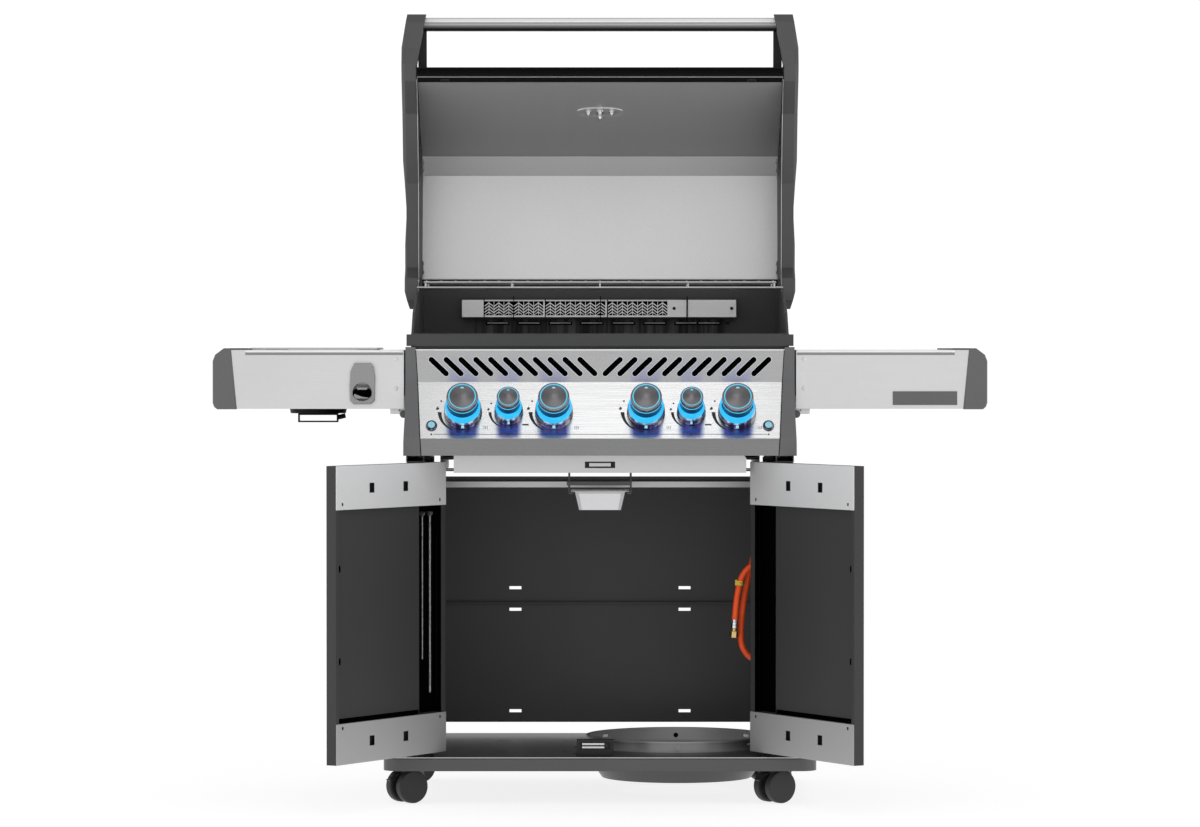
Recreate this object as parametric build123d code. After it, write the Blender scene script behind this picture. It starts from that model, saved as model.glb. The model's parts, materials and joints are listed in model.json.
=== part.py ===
from build123d import *
import math
import os

# ---------------------------------------------------------------- driving dimensions (mm)
# Working frame: X to the right, Y to the rear with the closed doors' face at Y = 0, Z up from the floor.
SHIFT_Y = -207.112          # moves the working frame so that the origin is under the middle of the whole grill

CART_HALF = 398.0         # outside of the cabinet sides
BASE_HALF_X = 446.0       # base pan half width
BASE_Y0, BASE_Y1 = 2.0, 612.0
BASE_Z0, BASE_Z1 = 69.5, 98.0
SHEET = 2.0

DOOR_Z0, DOOR_Z1 = 107.0, 704.0
DOOR_T = 24.0
DOOR_GAP = 2.0            # half the gap between the closed doors
PIN_XS, PIN_Y = {-1: 352.0, 1: 346.0}, 12.0
LEFT_OPEN, RIGHT_OPEN = 121.5, 119.5

RING_X, RING_Y, RING_R = 162.0, 300.0, 185.0
RING_Z0, RING_Z1, RING_R0 = 32.0, 121.0, 158.0

WHEEL_R, WHEEL_W, AXLE_TURN, TRAIL = 34.0, 18.0, 34.0, 23.0
CASTER_X, CASTER_Y = 380.0, (74.0, 540.0)

BOX_HALF = 388.0          # outside of the fire box
RIM_Z, REAR_Z = 967.0, 1062.0
PIVOT_Y, PIVOT_Z = 480.0, 1062.0
LID_OPEN = 87.0

PANEL_KNEE = (0.0, 869.0)   # where the fascia turns from upright to sloping
PANEL_NOSE = (-61.0, 754.0) # lower front edge of the sloping face
KNOB_Z = 806.4
LARGE_KNOBS = (-280.0, -94.0, 94.0, 280.0)
SMALL_KNOBS = (-186.5, 186.5)
BUTTON_X, BUTTON_Z = 344.0, 780.0

SHELF_TOP, SHELF_LOW = 935.0, 814.0
SHELF_IN, SHELF_OUT = 402.5, 795.0
FOLD_X, FOLD_Z = 404.0, 803.0

HOSE_D = 12.5

NODES = {}


# ---------------------------------------------------------------- helpers
def bx(x0, x1, y0, y1, z0, z1):
    return Pos((x0 + x1) / 2, (y0 + y1) / 2, (z0 + z1) / 2) * Box(abs(x1 - x0), abs(y1 - y0), abs(z1 - z0))


def rod(p, q, r):
    p, q = Vector(*p), Vector(*q)
    d = q - p
    return Plane(origin=p + d * 0.5, z_dir=d) * Cylinder(r, d.length)


def prism(points, direction):
    face = make_face(Polyline(*[Vector(*p) for p in points], close=True))
    v = Vector(*direction)
    return extrude(face, amount=v.length, dir=v)


def prism_x(yz, x0, x1):
    return prism([(x0, y, z) for y, z in yz], (x1 - x0, 0, 0))


def prism_y(xz, y0, y1):
    return prism([(x, y0, z) for x, z in xz], (0, y1 - y0, 0))


def prism_z(xy, z0, z1):
    return prism([(x, y, z0) for x, y in xy], (0, 0, z1 - z0))


def rounded_z(x0, x1, y0, y1, z0, z1, r):
    s = Plane.XY * RectangleRounded(x1 - x0, y1 - y0, r)
    return Pos((x0 + x1) / 2, (y0 + y1) / 2, z0) * extrude(s, amount=z1 - z0)


def offset_line(points, d):
    """Open polyline moved sideways by d (to the left of its direction), with mitred corners."""
    out = []
    n = len(points)
    for i, (a, b) in enumerate(points):
        dirs = []
        if i > 0:
            dirs.append((a - points[i - 1][0], b - points[i - 1][1]))
        if i < n - 1:
            dirs.append((points[i + 1][0] - a, points[i + 1][1] - b))
        normals = []
        for u, v in dirs:
            m = math.hypot(u, v)
            normals.append((-v / m, u / m))
        nx, ny = sum(q[0] for q in normals), sum(q[1] for q in normals)
        m = math.hypot(nx, ny)
        nx, ny = nx / m, ny / m
        k = d / (nx * normals[0][0] + ny * normals[0][1])
        out.append((a + nx * k, b + ny * k))
    return out


def band(points, d0, d1, x0, x1):
    """Sheet between two sideways offsets of an open YZ polyline, along X."""
    return prism_x(offset_line(points, d0) + offset_line(points, d1)[::-1], x0, x1)


def mirror_x(shape):
    return mirror(shape, about=Plane.YZ)


def put(name, *shapes):
    NODES.setdefault(name, [])
    for s in shapes:
        NODES[name].extend(s.solids())


def turned(shape, origin, direction, angle):
    return shape.rotate(Axis(origin, direction), angle)


# ---------------------------------------------------------------- base pan, tank ring
pan = rounded_z(-BASE_HALF_X, BASE_HALF_X, BASE_Y0, BASE_Y1, BASE_Z0, BASE_Z1, 36)
pan = chamfer(pan.faces().sort_by(Axis.Z)[-1].outer_wire().edges(), 4)
pan -= rounded_z(-BASE_HALF_X + SHEET, BASE_HALF_X - SHEET, BASE_Y0 + SHEET, BASE_Y1 - SHEET, BASE_Z0 - 1, BASE_Z1 - 4.5, 34)
pan -= Pos(RING_X, RING_Y, 90) * Cylinder(RING_R + 1.0, 60)
for sx in (-205, -66):
    pan -= bx(sx - 14, sx + 14, 150, 156, 80, 110)
for sx, sy in ((-205, 420), (-66, 420)):
    pan -= bx(sx - 14, sx + 14, sy, sy + 6, 80, 110)
for cx in (-CASTER_X, CASTER_X):
    for cy in CASTER_Y:
        pan += Pos(cx, cy, (BASE_Z0 + 4 + BASE_Z1 - 3) / 2) * Cylinder(13, BASE_Z1 - 3 - BASE_Z0 - 4)
        pan -= Pos(cx, cy, 80) * Cylinder(5.55, 28)
put("base_pan", pan)

def turned_ring(points):
    return Pos(RING_X, RING_Y, 0) * revolve(make_face(Polyline(*[Vector(r, 0, h) for r, h in points], close=True)), Axis.Z)


ring = turned_ring([(0, RING_Z0), (RING_R0, RING_Z0), (RING_R, BASE_Z0), (RING_R, RING_Z1), (0, RING_Z1)])
ring += Pos(RING_X, RING_Y, RING_Z1 - 2) * Cylinder(RING_R + 6, 4)
ring += Pos(RING_X, RING_Y, BASE_Z1 + 1) * Cylinder(RING_R + 7, 2)
ring -= turned_ring([(0, RING_Z0 + 3), (RING_R0 - 2.5, RING_Z0 + 3), (RING_R - 2.5, BASE_Z0 + 1), (RING_R - 2.5, RING_Z1 + 1), (0, RING_Z1 + 1)])
ring -= Pos(RING_X, RING_Y, RING_Z0) * Cylinder(RING_R0 - 40, 30)
for a in (35, 145, 215, 325):
    x, y = RING_X + (RING_R - 1) * math.cos(math.radians(a)), RING_Y + (RING_R - 1) * math.sin(math.radians(a))
    ring -= Pos(x, y, RING_Z1 - 12) * Rot(0, 0, a) * Box(12, 22, 6)
ring -= rod((RING_X, RING_Y - RING_R - 12, 109), (RING_X, RING_Y - RING_R + 12, 109), 3.2)
put("tank_ring", ring)
put("tank_ring", rod((RING_X, RING_Y - RING_R - 7, 109), (RING_X, RING_Y - RING_R - 0.2, 109), 6),
    rod((RING_X, RING_Y - RING_R - 0.2, 109), (RING_X, RING_Y - RING_R + 22, 109), 3.1))
NODES["tank_ring"] = [NODES["tank_ring"][0], (NODES["tank_ring"][1] + NODES["tank_ring"][2]).solids()[0]]

# ---------------------------------------------------------------- cabinet shell
side = bx(396, 398, 40, 598, BASE_Z1 + 0.1, 704)
side += bx(361, 398, 66, 68, BASE_Z1 + 0.1, 704)          # front return
side += bx(361, 363, 66, 78, BASE_Z1 + 0.1, 704)
side += bx(361, 398, 596, 598, BASE_Z1 + 0.1, 704)        # rear return
side += bx(361, 398, 66, 598, 702, 704)                   # top ledge
side += bx(361, 398, 66, 598, BASE_Z1 + 0.1, BASE_Z1 + 2.1)
put("cabinet_side_left", mirror_x(side))
# the right side carries the hook that the hose hangs on
hook = rod((396.5, 192, 481), (337, 192, 481), 4) + Pos(337, 192, 481) * Sphere(4) + rod((337, 192, 481), (337, 112, 481), 4)
hook += rod((337, 115, 481), (337, 114, 496), 3.2)
put("cabinet_side_right", side + hook)

low = bx(-395.6, 395.6, 578, 580, 125, 384) + bx(-395.6, 395.6, 566, 580, 382, 384) + bx(-395.6, 395.6, 572, 580, 125, 127)
high = bx(-395.6, 395.6, 578, 580, 384.4, 633.5) + bx(-395.6, 395.6, 566, 580, 384.4, 386.4) + bx(-395.6, 395.6, 572, 580, 631.5, 633.5)
for sx in (-184, 184):
    for z in (149, 370):
        low -= bx(sx - 13, sx + 13, 560, 590, z - 3.3, z + 3.3)
    high -= bx(sx - 13, sx + 13, 560, 590, 417 - 3.3, 417 + 3.3)
put("cabinet_back_lower", low)
put("cabinet_back_upper", high)

rail = bx(-395.6, 395.6, 562, 564, 634, 649.5) + bx(-395.6, 395.6, 562, 580, 634, 636) + bx(-395.6, 395.6, 562, 576, 647.5, 649.5)
rail += bx(-395.6, 395.6, 574, 576, 647.5, 659.5)
put("rear_frame", rail)
for s in (-1, 1):
    put("rear_frame", prism_y([(s * 330, 680), (s * 328, 680), (s * 328, 708), (s * 304, 708), (s * 304, 710), (s * 328, 710), (s * 328, 721.9), (s * 330, 721.9)], 70, 561.5))

# side frames: the rails on top of the cabinet sides, and the brackets and pins that the shelves fold on
frame_rail = bx(361, 398, 4, 598, 704.3, 719.1) + bx(361, 398, 46, 598, 704.3, 721.9) - bx(363, 396, 3, 599, 706.3, 717.1)
bracket = []
for y0 in (24, 396):
    b = bx(388.3, 400, y0, y0 + 10, 790, 850) + bx(388.3, 390.3, y0, y0 + 44, 790, 850)
    b += Pos(FOLD_X, y0 + 5, FOLD_Z) * Rot(90, 0, 0) * Cylinder(8, 10)
    b += rod((FOLD_X, y0, FOLD_Z), (FOLD_X, y0 + 44, FOLD_Z), 4)
    bracket.append(b)
# hanger for the grease cup: two cross bars between the tray runners, wire legs and two rails that the cup slides on
hanger = bx(-327.9, 327.9, 229, 235, 680, 683) + bx(-327.9, 327.9, 357, 363, 680, 683) + bx(-70, 66, 229, 231, 650, 658)
for s in (-1, 1):
    hanger += rod((s * 59, 230, 634), (s * 59, 362, 634), 2.4)
    for y in (232, 360):
        hanger += rod((s * 58, y, 634), (s * 66, y, 634), 2.1) + rod((s * 65, y, 633), (s * 65, y, 682), 1.8)
put("side_frames", frame_rail, mirror_x(frame_rail), hanger, *bracket, *[mirror_x(b) for b in bracket])

brace = bx(-301, 301, 28, 30, 682, 721.8) + bx(-301, 301, 28, 100, 719.9, 721.8) + bx(-301, 301, 28, 40, 682, 684)
brace -= bx(-31, 31, 20, 34, 692, 705)
brace -= prism_y([(293, 722), (305, 722), (305, 708)], 20, 31)
put("front_brace", brace)
up = bx(-30.8, 30.8, 27, 36, 692.2, 704.8) - bx(-25, 25, 26, 30, 695, 702)
dn = bx(-48, 28, 32, 50, BASE_Z1 + 0.1, 132) - bx(-40.5, 20.5, 31, 37, 112.5, 126.5)
put("door_magnets", up, bx(-23, -1, 27.5, 29.8, 696, 701), bx(1, 23, 27.5, 29.8, 696, 701),
    dn, bx(-37, -11, 33, 36.8, 114.5, 124.5), bx(-9, 17, 33, 36.8, 114.5, 124.5))

for s, px in PIN_XS.items():
    put("door_hinge_pins", Pos(s * px, PIN_Y, (BASE_Z1 + 114) / 2) * Cylinder(4, 114 - BASE_Z1) + Pos(s * px, PIN_Y, BASE_Z1 + 3) * Cylinder(9, 6))
    arm = bx(s * (px - 9), s * (px + 8.5), 3, 34, 710, 716) + bx(s * (px - 9), s * 360.5, 26, 34, 706, 716)
    put("door_hinge_pins", arm + Pos(s * px, PIN_Y, 703.5) * Cylinder(4, 13))

# ---------------------------------------------------------------- casters
tr = (-math.cos(math.radians(AXLE_TURN)), -math.sin(math.radians(AXLE_TURN)))


def caster(cx, cy, label, brake):
    # local frame: u along the trail, w along the axle; turned into place afterwards
    def place(s):
        ang = math.degrees(math.atan2(tr[1], tr[0]))
        return Pos(cx, cy, 0) * Rot(0, 0, ang) * s
    u = TRAIL
    body = prism_y([(-16, 66), (u + 2, 66), (u + 16, 60), (u + 27, 49), (u + 14, 42), (u + 6, 26), (u - 6, 26), (u - 22, 28), (u - 37, 36),
                    (u - 40, 48), (u - 36, 60)], -9, 9)
    body += Pos(0, 0, 67.5) * Cylinder(15, 4)
    body += Pos(0, 0, 80) * Cylinder(5.5, 26)
    body += rod((u, -26.5, WHEEL_R), (u, 26.5, WHEEL_R), 4)
    if brake:
        body -= bx(u + 9, u + 40, -8, 8, 43, 70)
        body -= rod((u + 18, -12, 54), (u + 18, 12, 54), 2.1)
    put(f"caster_{label}_fork", place(body))
    wheels = []
    for s in (-1, 1):
        w = Pos(u, s * (11 + WHEEL_W / 2), WHEEL_R) * Rot(90, 0, 0) * Cylinder(WHEEL_R, WHEEL_W)
        w = fillet(w.edges().filter_by(GeomType.CIRCLE), 3.5)
        w -= rod((u, s * 10.9, WHEEL_R), (u, s * 26.8, WHEEL_R), 4.08)
        w -= Pos(u, s * (11 + 5), WHEEL_R) * Rot(90, 0, 0) * (Cylinder(27, 11) - Cylinder(9, 11))
        wheels.append(place(w))
    put(f"caster_{label}_wheels", *wheels)
    if brake:
        lever = prism_y([(u + 13.5, 50), (u + 26, 49), (u + 44, 46), (u + 46, 49), (u + 30, 56), (u + 20, 60), (u + 13.5, 60)], -7.3, 7.3)
        lever += rod((u + 18, -8.8, 54), (u + 18, 8.8, 54), 2.0)
        put(f"caster_{label}_brake", place(lever))


caster(-CASTER_X, CASTER_Y[0], "front_left", True)
caster(CASTER_X, CASTER_Y[0], "front_right", True)
caster(-CASTER_X, CASTER_Y[1], "rear_left", False)
caster(CASTER_X, CASTER_Y[1], "rear_right", False)

# ---------------------------------------------------------------- fire box
outer = [(8, RIM_Z), (8, 940), (60, 735), (60, 722), (551, 722), (551, 1064), (460, 1062), (250, 1058), (90, 1012), (27, 972.5)]
box = prism_x(outer, -BOX_HALF, BOX_HALF)
box += bx(-397, 397, 0, 14, 943, RIM_Z)
for s in (-1, 1):
    box += rod((s * 383, PIVOT_Y, PIVOT_Z), (s * BOX_HALF, PIVOT_Y, PIVOT_Z), 22)
box -= prism_x([(14, 1200), (14, 940), (66, 733), (66, 728), (545, 728), (545, 1200)], -383, 383)
box -= bx(-355, 355, 95, 515, 715, 735)
for i in range(8):
    x = -221.8 + 68.07 * i
    box -= bx(x - 25.4, x + 25.4, 540, 556, 989, 995)
for s in (-1, 1):
    box -= rod((s * 375, PIVOT_Y, PIVOT_Z), (s * 395, PIVOT_Y, PIVOT_Z), 6.06)
for x in LARGE_KNOBS:
    box -= rod((x, 10, 846), (x, 70, 846), 13)
hood = bx(-262, 296, 551, 562, 976, 1003) - bx(-260.5, 294.5, 550, 560.5, 970, 1001.5)
box += hood
put("firebox", box)

burner = []
for x in LARGE_KNOBS:
    b = rod((x, 24, 846), (x, 500, 846), 12) - rod((x, 20, 846), (x, 496, 846), 10)
    b += bx(x - 12, x + 12, 500, 545, 838, 841) + bx(x - 12, x + 12, 499, 502, 838, 846)
    burner.append(b)
put("burners", *burner)

tamers = []
for x in (-280, -94, 94, 280):
    t = prism_y([(x - 60, 872), (x, 906), (x + 60, 872), (x + 60, 870), (x + 57, 870), (x, 903.5), (x - 57, 870), (x - 60, 870)], 45, 544.9)
    tamers.append(t)
for y0 in (60, 520):
    tamers.append(bx(-382.9, 382.9, y0, y0 + 12, 862, 869.9))
put("flame_tamers", *tamers)

grids = []
for x0, x1 in ((-380, -128), (-126, 126), (128, 380)):
    g = bx(x0, x1, 24, 34, 930, 938) + bx(x0, x1, 272, 282, 926, 934) + bx(x0, x1, 532, 542, 926, 938)
    n = 13
    for i in range(n):
        x = x0 + 4.5 + (x1 - x0 - 9) * i / (n - 1)
        g += bx(x - 4, x + 4, 24, 542, 933, 944)
    grids.append(g)
put("cooking_grids", *grids)

rear = bx(-299, 295, 500, 530, 1004, 1044) - bx(-297, 293, 503, 528, 1006, 1042)
for x0, x1 in ((-250, -122), (-118, 12), (16, 146)):
    rear -= bx(x0, x1, 496, 504, 1009, 1039)
for x0, x1 in ((-250, -122), (-118, 12), (16, 146)):
    rear += bx(x0, x1, 512, 514, 1005, 1043)
for x in (-200, 200):
    rear += bx(x - 12, x + 12, 529, 544.9, 1012, 1036)
wires = [rod((x, 494, 996), (x, 494, 1052), 2) + rod((x, 494, 998), (x, 503, 1008), 2) + rod((x, 494, 1050), (x, 503, 1040), 2) for x in (-186, 1, 188)]
for w in wires:
    rear += w
put("rear_burner", rear)

# warming rack: two raised rails and cross wires between, on side hoops that stand on the fire box
rack = None
R0, R1 = 290.0, 450.0


def join(a, b):
    return b if a is None else a + b


for y in (R0, R1):
    rack = join(rack, rod((-386.5, y, 1066.5), (386.5, y, 1066.5), 2.6))
    rack += rod((-372, y, 1077.5), (372, y, 1077.5), 2.6)
    for x in (-368, -186, 0, 186, 368):
        rack += rod((x, y, 1066.5), (x, y, 1077.5), 2.2)
for i in range(25):
    x = -366 + 30.5 * i
    rack += rod((x, R0 - 2, 1079.5), (x, R1 + 2, 1079.5), 1.8)
for x in (-384, 384):
    rack += rod((x, R0 - 1, 1066.5), (x, R1 + 1, 1066.5), 2.4)
put("warming_rack", rack)

# drip tray: shallow pan with a fall to the middle, hanging in two runners and sliding out to the rear
t = bx(-298, 298, 76, 558, 686, 688) + bx(-298, -296, 76, 558, 686, 713) + bx(296, 298, 76, 558, 686, 713) + bx(-298, 298, 76, 78, 686, 713)
t += bx(-298, 298, 556, 558, 686, 713)
t += bx(-326, -296, 76, 558, 711, 713) + bx(296, 326, 76, 558, 711, 713)
t -= Pos(0, 300, 687) * Cylinder(14, 10)
put("drip_tray", t)

cup = loft([Pos(0, 296, 597.5) * Rectangle(88, 84), Pos(0, 296, 637) * Rectangle(106, 100)])
cup -= loft([Pos(0, 296, 599) * Rectangle(85.4, 81.4), Pos(0, 296, 637.5) * Rectangle(103.4, 97.4)])
cup += Pos(0, 296, 637.7) * (Box(123, 104, 2) - Box(103.2, 97.2, 3))
put("grease_cup", cup)

# ---------------------------------------------------------------- control panel
prof = [(0.0, 936.0), PANEL_KNEE, PANEL_NOSE, (PANEL_NOSE[0], 719.5), (20.0, 719.5)]
top = [(6.5, 936.0)] + prof
fascia = band(top, 0, 1.6, -378, 378)
fascia &= prism_y([(-377.5, 940), (377.5, 940), (364, 718), (-364, 718)], -80, 60)
slots = None
for i in range(11):
    x = -346 + 30.5 * i
    for s in (-1, 1):
        a, b = (s * x, 915.2), (s * (x + 30.3), 886.4)
        d = math.hypot(b[0] - a[0], b[1] - a[1])
        ang = math.degrees(math.atan2(b[1] - a[1], b[0] - a[0]))
        slot = Pos((a[0] + b[0]) / 2, -3, (a[1] + b[1]) / 2) * Rot(0, -ang, 0) * (Rot(-90, 0, 0) * extrude(SlotCenterToCenter(d, 11.0), amount=10))
        fascia -= slot
slope = (PANEL_NOSE[0] - PANEL_KNEE[0], PANEL_NOSE[1] - PANEL_KNEE[1])
sl = math.hypot(*slope)
NORM = (0.0, slope[1] / sl, -slope[0] / sl)      # outward normal of the sloping face


def face_point(x, z, t=0.0):
    k = (PANEL_KNEE[1] - z) / (PANEL_KNEE[1] - PANEL_NOSE[1])
    return Vector(x, PANEL_KNEE[0] + k * slope[0] + t * NORM[1], z + t * NORM[2])


def on_face(x, z, r, t0, t1):
    return rod(face_point(x, z, t0), face_point(x, z, t1), r)


def lathe(profile, x, z):
    """Solid of revolution about the knob axis from (radius, height) points."""
    f = make_face(Polyline(*[Vector(r, 0, h) for r, h in profile], close=True))
    s = revolve(f, Axis.Z)
    return Plane(origin=face_point(x, z), x_dir=(1, 0, 0), z_dir=NORM) * s


for x in LARGE_KNOBS + SMALL_KNOBS:
    fascia -= on_face(x, KNOB_Z, 9, -6, 6)
for x in (-BUTTON_X, BUTTON_X):
    fascia -= on_face(x, BUTTON_Z, 9.4, -6, 6)
put("control_panel", fascia)

bezels, shafts = [], []
for x in LARGE_KNOBS:
    bezels.append(lathe([(9.5, 0.02), (39, 0.02), (39, 5), (38, 22), (35.5, 31), (33.8, 33), (33.2, 31), (33.2, 6), (9.5, 6)], x, KNOB_Z))
for x in SMALL_KNOBS:
    bezels.append(lathe([(9.5, 0.02), (29.6, 0.02), (29.6, 5), (28.6, 20), (26.5, 28), (25.2, 30), (24.6, 28), (24.6, 6), (9.5, 6)], x, KNOB_Z))
for x in (-BUTTON_X, BUTTON_X):
    bezels.append(lathe([(9.3, 0.02), (11.8, 0.02), (11.8, 2), (10.6, 4), (9.3, 4)], x, BUTTON_Z))
put("knob_bezels", *bezels)

for i, x in enumerate((-280, -186.5, -94, 94, 186.5, 280)):
    if x in LARGE_KNOBS:
        p = [(4.08, 7), (26, 7), (27, 9), (30.5, 24), (31, 44), (32, 46), (32, 65), (30.5, 69), (26, 72), (24, 75), (14, 78), (0.0, 79), (0.0, 34), (4.08, 34)]
    else:
        p = [(4.08, 7), (19, 7), (20, 9), (22.4, 22), (22.6, 44), (23.4, 46), (23.4, 66), (22, 70), (18, 73), (16.5, 75.5), (10, 78), (0.0, 78.6), (0.0, 34), (4.08, 34)]
    put(f"knob_{i + 1}", lathe(p, x, KNOB_Z))
for n, x in (("left", -BUTTON_X), ("right", BUTTON_X)):
    put(f"button_{n}", lathe([(0, -6), (8.9, -6), (8.9, 5.2), (7.5, 6.5), (0, 6.8)], x, BUTTON_Z))

# gas manifold: one pipe with a tapped valve and shaft behind each knob
mz, my = 752.0, 22.0
pipe = rod((-300, my, mz), (348, my, mz), 9)
for x in (-280, -186.5, -94, 94, 186.5, 280):
    pipe += on_face(x, KNOB_Z, 11, -46, -6)
    pipe += on_face(x, KNOB_Z, 4, -10, 30)
    c = face_point(x, KNOB_Z, -40)
    pipe += rod((x, c.Y, c.Z), (x, my, mz), 6)
pipe += rod((345, my, mz), (345, 44, mz), 7) + Pos(345, 44, mz) * Sphere(7) + rod((345, 44, mz), (345, 44, 713), 6) + Pos(345, 44, 713) * Sphere(6)
pipe += rod((345, 44, 713), (345, 112, 713), 5) + Pos(345, 112, 713) * Sphere(5.5) + rod((345, 112, 713), (345, 112, 700), 7.5)
put("gas_manifold", pipe)

# end caps of the fascia
ec = prism_x([(-3, 941), (44, 941), (44, 719.3), (30, 719.3), (-66, 719.3), (-66, 757), (-4, 873)], 360, 401)
ec &= prism_y([(379, 945), (399, 945), (399, 800), (402, 716), (365.5, 716)], -90, 60)
ec -= bx(340, 388.8, 6.8, 60, 700, 950)
ec -= bx(388, 405, 14.2, 60, 700, 950) + bx(379, 405, 0.2, 60, 936.2, 950)
ec -= bx(340, 396, -58, 60, 700, 936) & prism_x([(0, 936), (44, 936), (44, 716), (-58, 716), (-58, 754), (2, 868)], 340, 396)
put("panel_end_caps", ec, mirror_x(ec))

# ---------------------------------------------------------------- lid (drawn closed, then opened about its pins)
inner = [(22, 974), (192, 1240), (236, 1275), (461, 1233), (488, 1165)]


def opened(shape):
    return turned(shape, (0, PIVOT_Y, PIVOT_Z), (1, 0, 0), -LID_OPEN)


LID_X = 391.5
liner = band(inner, 0, 1.6, -389.4, 389.4)
inner_long = [(inner[0][0] - 0.539 * 15, inner[0][1] - 0.843 * 15)] + inner[1:]      # the skin hangs lower than the liner in front
skin = band(inner_long, 14, 15.6, -389.3, 389.3)
o14, o0 = offset_line(inner, 14), offset_line(inner, 1.6)
# lip along the front edge and closing strip along the rear edge
skin += prism_x([o14[0], (o14[0][0] + 4, o14[0][1] + 6.2), (o0[0][0] + 3.6, o0[0][1] + 5.8), (o0[0][0] - 0.1, o0[0][1])], -389.2, 389.2)
skin += prism_x([o14[-1], (o14[-1][0] - 1, o14[-1][1] + 3), (o0[-1][0] - 0.8, o0[-1][1] + 3), (o0[-1][0] + 0.2, o0[-1][1])], -389.2, 389.2)
side_line = [(26, 982), (192, 1239), (236, 1274), (460, 1232), (487, 1166), (505, 1085), (505, 1040), (455, 1040), (440, 1066), (250, 1064), (100, 1020)]
for s in (-1, 1):
    w = prism_x([(y, z) for y, z in side_line], s * 389.5, s * 391.2)
    w -= rod((s * 380, PIVOT_Y, PIVOT_Z), (s * 400, PIVOT_Y, PIVOT_Z), 8)
    liner += w
# gauge recess: a shallow pressed plate in the middle of the front face, with two bolts
gy, gz = 96.0, 1089.8
gd = (0.541, 0.841)
gn = (-gd[1], gd[0])


def gauge_point(x, t, up=0.0):
    return (x, gy + gn[0] * t + gd[0] * up, gz + gn[1] * t + gd[1] * up)


for g in (liner, skin):
    pass
liner -= rod(gauge_point(0, -6), gauge_point(0, 8), 4.2)
skin -= rod(gauge_point(0, 8), gauge_point(0, 24), 4.2)
for x in (-25, 25):
    liner -= rod(gauge_point(x, -6), gauge_point(x, 8), 2.6)
    skin -= rod(gauge_point(x, 8), gauge_point(x, 24), 2.6)
# black posts behind the handle ends, fixed to the skin
for s in (-1, 1):
    skin += bx(s * 370.8, s * 389.0, -98, 49, 1036, 1046) - rod((s * 360, -90.5, 1030), (s * 395, -90.5, 1030), 16)
put("lid_liner", opened(liner))
put("lid_skin", opened(skin))

gauge = rod(gauge_point(0, 15.9), gauge_point(0, 32), 34) + rod(gauge_point(0, -45), gauge_point(0, 18), 4)
for x in (-25, 25):
    gauge += rod(gauge_point(x, -6), gauge_point(x, 18), 2.5)
    gauge += rod(gauge_point(x, -6), gauge_point(x, -0.15), 6)
put("lid_gauge", opened(gauge))

cap_line = [(-112, 1002), (-96, 988), (-40, 986), (-6, 972), (30, 980), (100, 1018), (250, 1061), (430, 1064), (452, 1032), (500, 1026), (519, 1046),
            (521, 1100), (512, 1180), (496, 1236), (478, 1260), (250, 1302), (222, 1300), (170, 1262), (40, 1072), (14, 1056), (-92, 1056), (-112, 1044)]
cap_plan = [(391.5, -113), (410.8, -113), (423, -41), (423, 201), (416.5, 300), (416.5, 325), (419.5, 380), (419.5, 480), (407.7, 524), (391.5, 524)]
cap = prism_x(cap_line, LID_X, 424)
cap = chamfer(cap.faces().sort_by(Axis.X)[-1].outer_wire().edges(), 8)
pocket = offset_line(cap_line + [cap_line[0]], 6)[1:-1]
pocket = [(-104, 1004), (-92, 994), (-38, 992), (-4, 979), (28, 987), (98, 1025), (249, 1068), (434, 1071), (457, 1039), (497, 1033), (512, 1049),
          (514, 1099), (505, 1178), (490, 1232), (475, 1253), (250, 1295), (224, 1293), (176, 1258), (45, 1067), (16, 1049), (-90, 1049), (-104, 1040)]
cap -= prism_x(pocket, LID_X - 1, 405)
cap += rod((LID_X, PIVOT_Y, PIVOT_Z), (415, PIVOT_Y, PIVOT_Z), 15) + rod((383.2, PIVOT_Y, PIVOT_Z), (400, PIVOT_Y, PIVOT_Z), 6)
arm = prism_x([(-112, 1002), (-96, 988), (-40, 986), (-6, 972), (0, 974), (0, 1035.6), (-92, 1035.6), (-112, 1035.6)], 366, 405)
arm &= prism_z([(370.6, -115), (391.6, -1), (407, -1), (407, -115)], 960, 1080)
arm -= rod((360, -90.5, 1030), (384, -90.5, 1030), 14.6)
cap = (cap + arm) & (prism_z(cap_plan, 940, 1320) + bx(360, 391.6, -115, 0, 940, 1320) + bx(383, 392, 460, 500, 1040, 1085))
put("lid_caps", opened(cap), opened(mirror_x(cap)))
handle = rod((-383.8, -90.5, 1030), (383.8, -90.5, 1030), 14.5) - rod((-390, -90.5, 1030), (390, -90.5, 1030), 12.5)
put("lid_handle", opened(handle))

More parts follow.
